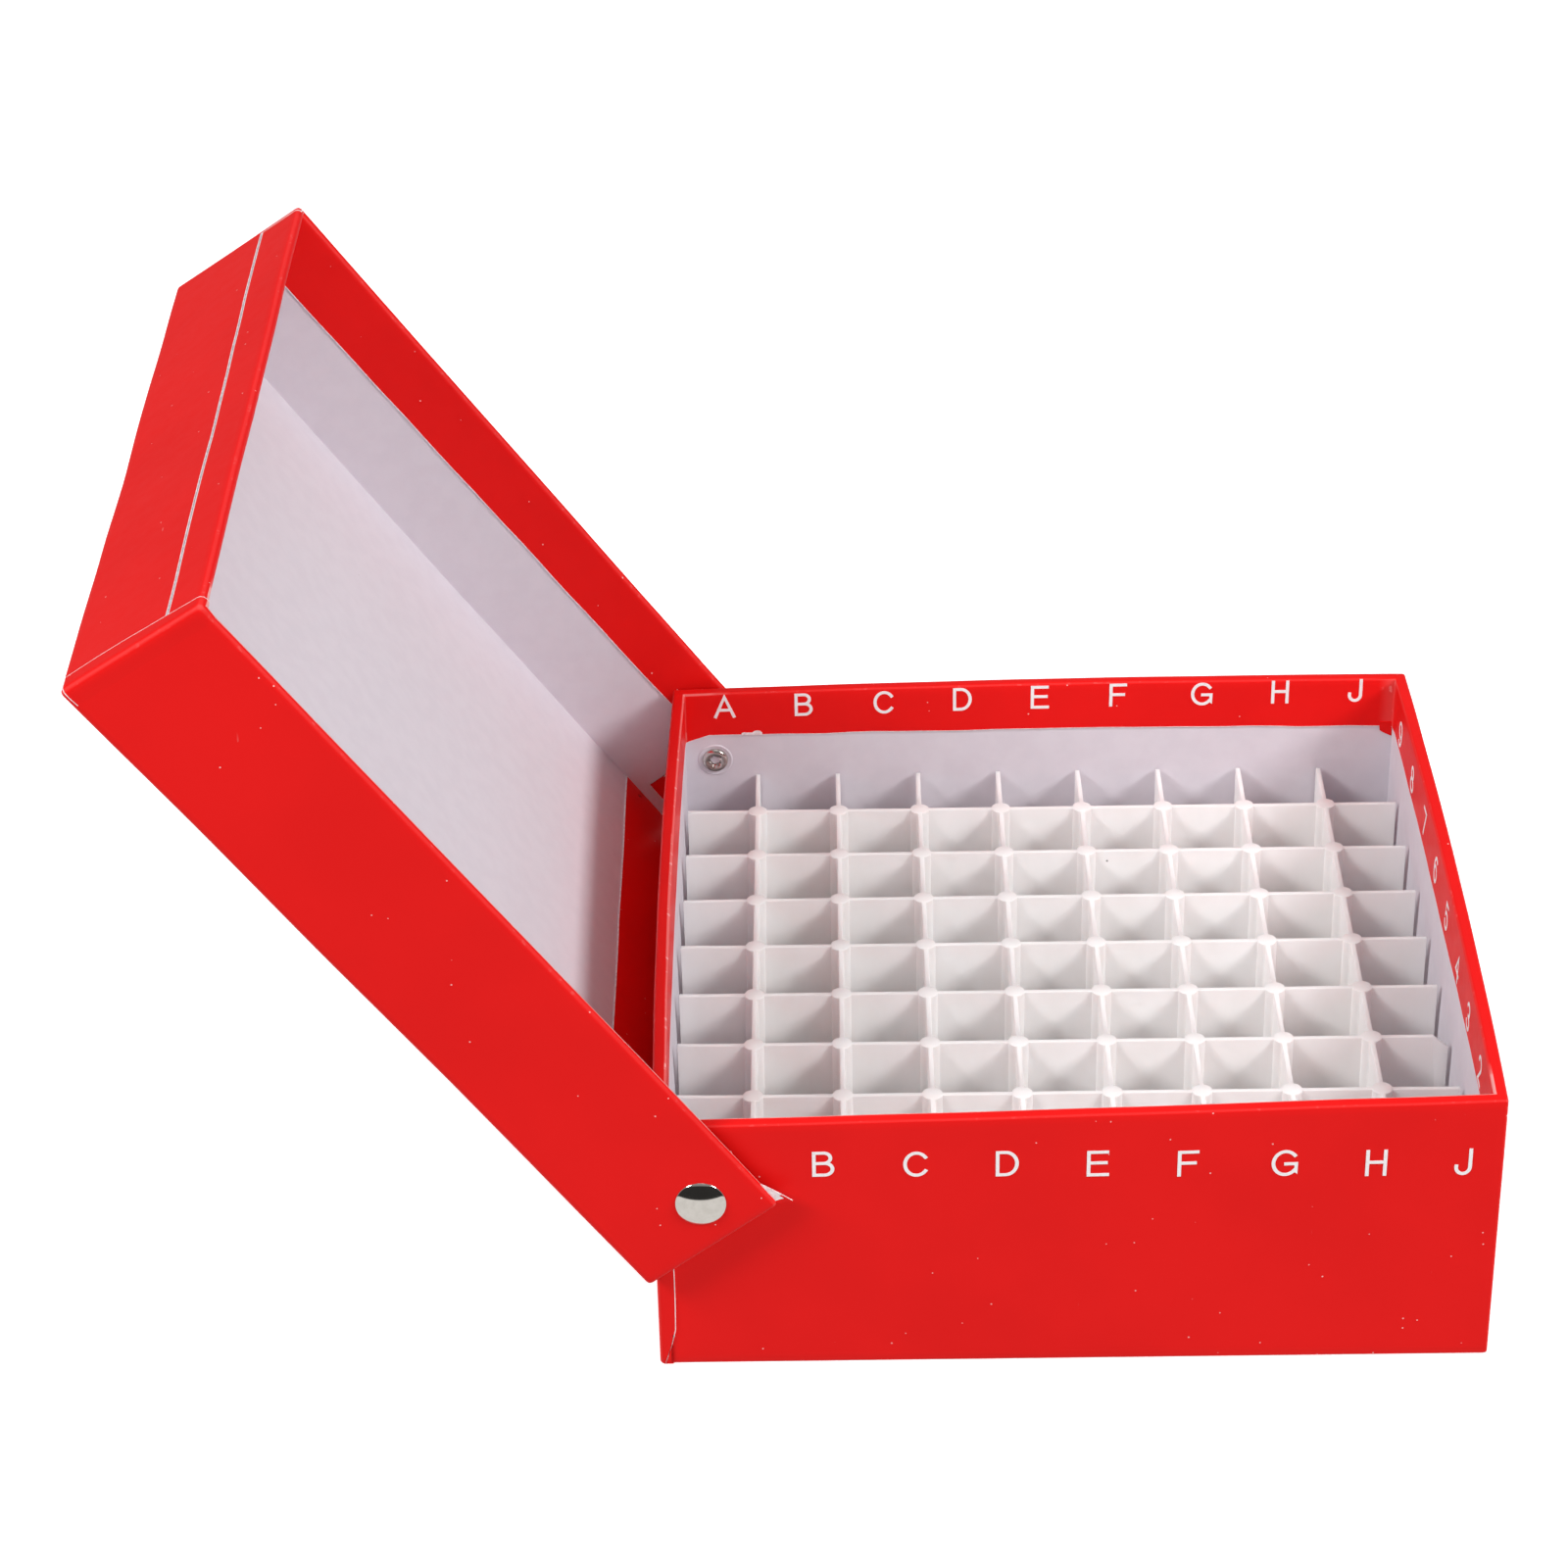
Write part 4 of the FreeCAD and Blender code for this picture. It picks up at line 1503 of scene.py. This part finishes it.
@dataclass
class Rivets:
    """The two tubular rivets that the lid turns on: capped outside, clinched inside."""

    palette: Palette
    steps: int = 56
    caps: Tuple[Vector, Vector] = field(default_factory=lambda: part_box("hinge_rivet_caps"))
    dome_radius: float = 7.6
    rolled_edge: float = 0.32
    clinch_radius: float = 2.4
    clinch_height: float = 0.7
    bore_radius: float = 1.1
    inner_face: float = 65.0

    def build(self) -> None:
        """Build and fit the caps and the clinched ends."""
        fit(self.both_sides("rivet_caps", self.cap(), self.caps[1].y / MM, self.palette.cap),
            "tray", Slot.CAP, "hinge_rivet_caps")
        fit(self.both_sides("rivet_clinches", self.clinch(), -(self.inner_face - self.clinch_height),
                            self.palette.shank, self.palette.bore), "tray", Slot.SHANK, "hinge_rivet_shanks")
        fit(self.both_sides("rivet_press_rings", self.press_ring(), -(self.inner_face - 0.02),
                            self.palette.board), "tray", Slot.LINED_BOARD)

    def cap(self) -> bmesh.types.BMesh:
        """Draw a domed cap with a rolled edge, its top at height 0.

        Returns:
            The mesh, in millimetres, with the cap below height 0.
        """
        radius = (self.caps[1].x - self.caps[0].x) / 2 / MM
        curve, roll, tilts = self.dome_radius, self.rolled_edge, 16
        steepest = math.asin((radius - roll * 0.48) / curve)
        dome = [(curve * math.sin(steepest * i / tilts), curve * (math.cos(steepest * i / tilts) - 1))
                for i in range(tilts + 1)]
        hub = (dome[-1][0] - roll * math.sin(steepest), dome[-1][1] - roll * math.cos(steepest))
        edge = [(hub[0] + roll * math.cos(math.radians(a)), hub[1] + roll * math.sin(math.radians(a)))
                for a in range(45, -91, -15)]
        return turned(dome + edge + [(0.0, hub[1] - roll)], self.steps)

    def clinch(self) -> bmesh.types.BMesh:
        """Draw the rolled inner end of a shank, split into petals round its bore.

        Returns:
            The mesh, in millimetres, with its top at height 0.
        """
        outer, tall = self.clinch_radius, self.clinch_height
        middle, tube = (outer + self.bore_radius) / 2, (outer - self.bore_radius) / 2
        ring = [(middle + tube * math.cos(math.radians(a)), -tall + tall * math.sin(math.radians(a)))
                for a in range(150, -1, -15)]
        bore = [(0.0, -1.5), (0.55, -1.5), (0.80, -1.0), (0.98, -0.50)]

        def petals(radius: float, angle: float) -> float:
            """Lift the torn petals round the bore.

            Args:
                radius: distance from the axis.
                angle: direction from the axis, in radians.

            Returns:
                The extra height.
            """
            if radius > 1.5 or radius < 0.3:
                return 0.0
            return 0.42 * abs(math.cos(2.5 * angle)) * (1 - abs(radius - 0.9) / 0.6)

        mesh = turned(bore + ring + [(outer, -tall - 0.3), (0.0, -tall - 1.4)], self.steps, petals)
        mesh.normal_update()
        # Faces deep in the bore take material 1, the dark nickel that paints the bore's shade and its reddish
        # reflection.
        for face in mesh.faces:
            face.material_index = int(face.calc_center_median().xy.length < 0.86 and face.normal.z > 0)
        return mesh

    def press_ring(self) -> bmesh.types.BMesh:
        """Draw the ring that the setting tool pressed up in the liner, its face at height 0.

        Returns:
            The mesh, in millimetres.
        """
        inner, outer, foot = 2.20, 3.22, -0.25
        ridge = [(2.75, 0.0), (2.90, 0.10), (3.02, 0.13), (3.14, 0.08), (outer, -0.02)]
        ring = [(inner, foot), (inner, 0.0)] + ridge + [(outer, foot), (inner, foot)]
        mesh = turned(ring, self.steps)
        bmesh.ops.remove_doubles(mesh, verts=mesh.verts, dist=0.001)
        bmesh.ops.recalc_face_normals(mesh, faces=mesh.faces)
        return mesh

    def both_sides(self, name: str, mesh: bmesh.types.BMesh, top: float,
                   *materials: bpy.types.Material) -> bpy.types.Object:
        """Set a turned shape on the front and back rivet.

        Args:
            name: the piece's name.
            mesh: the shape, with its axis along Z.
            top: place of its top along Y, negative where it faces the middle of the box.
            *materials: its finishes.

        Returns:
            One object with both.
        """
        centre = (self.caps[0] + self.caps[1]) / 2 / MM
        pair = bmesh.new()
        for side in (-1, 1):
            facing = side if top > 0 else -side
            half = mesh.copy()
            turn = Matrix.Rotation(math.radians(-90 * facing), 4, "X")
            half.transform(Matrix.Translation((centre.x, side * abs(top), centre.z)) @ turn)
            copy = bpy.data.meshes.new("half")
            half.to_mesh(copy)
            pair.from_mesh(copy)
            bpy.data.meshes.remove(copy)
            half.free()
        mesh.free()
        pair.transform(Matrix.Scale(MM, 4))
        return new_piece(name, pair, materials, 60.0)


# ---------------------------------------------------------------- divider

@dataclass
class Divider:
    """The loose moulded grid: thin walls joined by round posts that stand a little proud."""

    palette: Palette
    posts: Tuple[Vector, Vector] = field(default_factory=lambda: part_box("divider_posts"))
    walls: Tuple[Vector, Vector] = field(default_factory=lambda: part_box("divider_long_walls"))
    per_side: int = 8
    post_width: float = 3.0
    post_radius: float = 1.7
    post_crown: float = 0.1
    crown_share: float = 0.90
    wall_half: float = 0.4
    arc_steps: int = 5
    edge_round: float = 0.14
    cropped_row: float = -1.5
    crop: float = 2.2

    @property
    def pitch(self) -> float:
        """Distance between neighbouring posts."""
        width = (self.posts[1].x - self.posts[0].x) / MM
        return (width - self.post_width) / (self.per_side - 1)

    @property
    def foot(self) -> float:
        """Height of the divider's underside."""
        return self.posts[0].z / MM

    @property
    def top(self) -> float:
        """Height of the walls' upper edge."""
        return self.posts[1].z / MM - self.post_crown

    def build(self) -> None:
        """Build and fit the grid."""
        mesh = bmesh.new()
        columns = [(i - (self.per_side - 1) / 2) * self.pitch for i in range(self.per_side)]
        rings = {(i, j): self._post(mesh, columns[i], columns[j])
                 for i in range(self.per_side) for j in range(self.per_side)}
        reach = self.walls[1].x / MM
        beside = {"E": (1, 0), "N": (0, 1), "W": (-1, 0), "S": (0, -1)}
        for (i, j), ring in rings.items():
            for side, (across, along) in beside.items():
                neighbour = rings.get((i + across, j + along))
                if neighbour is None:
                    self._stub(mesh, ring[side], beside[side], reach)
                elif side in "EN":
                    self._web(mesh, ring[side], neighbour["W" if side == "E" else "S"])
        bmesh.ops.recalc_face_normals(mesh, faces=mesh.faces)
        mesh.normal_update()
        upper = [edge for edge in mesh.edges if len(edge.link_faces) == 2 and edge.calc_face_angle() > 1.2
                 and min(vert.co.z for vert in edge.verts) > self.top - 0.5 and edge.is_convex]
        bmesh.ops.bevel(mesh, geom=upper, offset=self.edge_round, offset_type="OFFSET", segments=2,
                        profile=0.5, affect="EDGES", clamp_overlap=True)
        settle_mesh(mesh, self.settle)
        fit(new_piece("divider_grid", mesh, [self.palette.plastic], 55.0), "divider", Slot.DIVIDER,
            "divider_posts", "divider_long_walls", "divider_cross_walls")

    def settle(self, point: Vector) -> Vector:
        """Let the thin walls wander a little between their posts, more at their free ends.

        Args:
            point: the drawn place.

        Returns:
            The real place, in millimetres.
        """
        x, y, z = point
        rise = (z - self.foot) / (self.top - self.foot)
        loose = 0.06 + 0.30 * clamped((max(abs(x), abs(y)) - 53) / 11) ** 2
        drift = noise.noise_vector(Vector((x, y, 3.0)) / 19.0) * loose * rise
        return Vector((x + drift.x * 0.6, y + drift.y, z + drift.z * 0.5))

    def _post(self, mesh: bmesh.types.BMesh, x: float, y: float) -> Dict[str, List[bmesh.types.BMVert]]:
        """Add one post.

        Args:
            mesh: the mesh that it is added to.
            x: its place along the box.
            y: its place across the box.

        Returns:
            For each compass side, the four points where a wall joins: top and foot of its two edges.
        """
        joint = math.degrees(math.asin(self.wall_half / self.post_radius))
        angles = [quarter * 90 + mixed(joint, 90 - joint, i / self.arc_steps)
                  for quarter in range(4) for i in range(self.arc_steps + 1)]
        upper, lower = [], []
        for angle in angles:
            across, along = math.cos(math.radians(angle)), math.sin(math.radians(angle))
            place = (x + self.post_radius * across, y + self.post_radius * along)
            upper.append(mesh.verts.new((*place, self.top)))
            lower.append(mesh.verts.new((*place, self.foot)))
        count = len(angles)
        for i in range(count):
            after = (i + 1) % count
            if (i + 1) % (self.arc_steps + 1):
                mesh.faces.new([lower[i], lower[after], upper[after], upper[i]])
        inset = self.crown_share
        crown = [mesh.verts.new((x + (vert.co.x - x) * inset, y + (vert.co.y - y) * inset,
                                 self.top + self.post_crown)) for vert in upper]
        for i in range(count):
            after = (i + 1) % count
            mesh.faces.new([upper[i], upper[after], crown[after], crown[i]])
        mesh.faces.new(crown)
        mesh.faces.new(list(reversed(lower)))
        sides = {}
        for quarter, side in enumerate("ENWS"):
            last = (quarter * (self.arc_steps + 1) - 1) % count
            first = quarter * (self.arc_steps + 1)
            sides[side] = [upper[last], upper[first], lower[first], lower[last]]
        return sides

    def _web(self, mesh: bmesh.types.BMesh, near: List[bmesh.types.BMVert],
             far: List[bmesh.types.BMVert]) -> None:
        """Join two posts with a straight wall.

        Args:
            mesh: the mesh that it is added to.
            near: one post's four joining points.
            far: the other post's.
        """
        opposite = [far[1], far[0], far[3], far[2]]
        for i in range(4):
            after = (i + 1) % 4
            mesh.faces.new([near[i], near[after], opposite[after], opposite[i]])

    def _stub(self, mesh: bmesh.types.BMesh, near: List[bmesh.types.BMVert],
              heading: Tuple[int, int], reach: float) -> None:
        """Run a wall from an outer post to its free end.

        Args:
            mesh: the mesh that it is added to.
            near: the post's four joining points.
            heading: the way that it leaves, along and across the box.
            reach: how far from the middle it ends.
        """
        previous = near
        start = max(abs(near[0].co.x * heading[0]), abs(near[0].co.y * heading[1]))
        cropped = heading == (1, 0) and abs(near[0].co.y - self.cropped_row * self.pitch) < 1
        for place in spaced(start, reach, 3.0)[1:]:
            ring = []
            for vert in near:
                x = heading[0] * place if heading[0] else vert.co.x
                y = heading[1] * place if heading[1] else vert.co.y
                ring.append(mesh.verts.new((x, y, vert.co.z)))
            if cropped and place > reach - 1:
                for vert in ring[:2]:
                    vert.co.z -= self.crop
            for i in range(4):
                after = (i + 1) % 4
                mesh.faces.new([previous[i], previous[after], ring[after], ring[i]])
            previous = ring
        mesh.faces.new(previous)


# ---------------------------------------------------------------- studio

@dataclass
class Studio:
    """A pale table, soft light and the camera."""

    palette: Palette
    aim: Vector = field(default_factory=lambda: Vector((-46.5, 30.4, 50.5)))
    distance: float = 746.0
    azimuth: float = -0.825
    elevation: float = 31.565
    roll: float = 1.219
    lens: float = 97.37
    floor_half: float = 1600.0
    above: float = 0.28
    below: float = 0.76
    dark: float = 0.03

    def build(self) -> None:
        """Build the floor, the lights, the surround and the camera."""
        self.lay_floor()
        self.light()
        self.place_camera()

    def lay_floor(self) -> None:
        """Lay a table top that curls up softly far behind the box."""
        mesh = bmesh.new()
        places = spaced(-self.floor_half, self.floor_half, 160.0)
        rows = [[mesh.verts.new(Vector((x, y, 60.0 * clamped((math.hypot(x, y) - 1300) / 900) ** 2)) * MM)
                 for x in places] for y in places]
        for near, far in zip(rows, rows[1:]):
            for i in range(len(places) - 1):
                mesh.faces.new([near[i], near[i + 1], far[i + 1], far[i]])
        table = new_piece("studio_table", mesh, [self.palette.floor])
        table.visible_diffuse = False
        table.visible_glossy = False

    def light(self) -> None:
        """Hang the soft lights: two keys, a low fill that no gloss mirrors, and one overhead."""
        lamps = [("left_key", (-1000, -500, 1000), 400, 12.3, True),
                 ("right_key", (1000, -500, 900), 400, 12.8, True),
                 ("front_fill", (60, -900, 320), 600, 1.7, False),
                 ("overhead", (0, 60, 850), 420, 0.7, True)]
        target = Vector((0, 0, 20 * MM))
        for name, place, width, power, mirrored in lamps:
            lamp = bpy.data.lights.new(name, "AREA")
            lamp.size = width * MM
            lamp.energy = power
            holder = bpy.data.objects.new(name, lamp)
            holder.location = Vector(place) * MM
            holder.rotation_euler = (target - holder.location).to_track_quat("-Z", "Y").to_euler()
            holder.visible_glossy = mirrored
            bpy.context.scene.collection.objects.link(holder)
        self.surround()

    def surround(self) -> None:
        """Set a surround that is brighter below the table's edge, with a dark low band behind the camera."""
        world = bpy.data.worlds.new("pale_surround")
        world.use_nodes = True
        sky = Graph(world.node_tree)
        heading = sky.add("ShaderNodeTexCoord", {}, {}).outputs["Generated"]
        parts = sky.add("ShaderNodeSeparateXYZ", {}, {"Vector": heading})
        rise = Signal(sky, parts.outputs["Z"])
        behind = 1 - Signal(sky, parts.outputs["Y"]).ramp(-0.55, -0.20)
        floor_side = 1 - rise.ramp(-0.25, -0.19)
        band = behind * (1 - floor_side) * (1 - rise.ramp(0.36, 0.42))
        tone = sky.blend(floor_side, (self.above,) * 3, (self.below,) * 3)
        sky.feed(world.node_tree.nodes["Background"].inputs["Color"], sky.blend(band, tone, (self.dark,) * 3))
        bpy.context.scene.world = world
        bpy.context.scene.view_settings.view_transform = "Standard"

    def place_camera(self) -> None:
        """Stand the camera where the box is seen from the front and above."""
        turn, rise = math.radians(self.azimuth), math.radians(self.elevation)
        forward = Vector((math.sin(turn) * math.cos(rise), math.cos(turn) * math.cos(rise), -math.sin(rise)))
        lens = bpy.data.cameras.new("camera")
        lens.lens = self.lens
        lens.sensor_width = 36.0
        lens.clip_start = 0.01
        camera = bpy.data.objects.new("camera", lens)
        level = forward.to_track_quat("-Z", "Y").to_matrix()
        tilted = level @ Matrix.Rotation(math.radians(-self.roll), 3, "Z")
        camera.matrix_world = Matrix.Translation((self.aim - forward * self.distance) * MM) @ tilted.to_4x4()
        bpy.context.scene.collection.objects.link(camera)
        bpy.context.scene.camera = camera


def main() -> None:
    """Build the storage box and the studio round it."""
    logging.basicConfig(level=logging.INFO, format="%(name)s: %(message)s")
    noise.seed_set(WANDER_SEED)
    palette = Palette()
    for part in (Tray(palette), Lid(palette), Rivets(palette), Divider(palette), Studio(palette)):
        log.info("building the %s", type(part).__name__.lower())
        part.build()


if __name__ == "__main__":
    main()
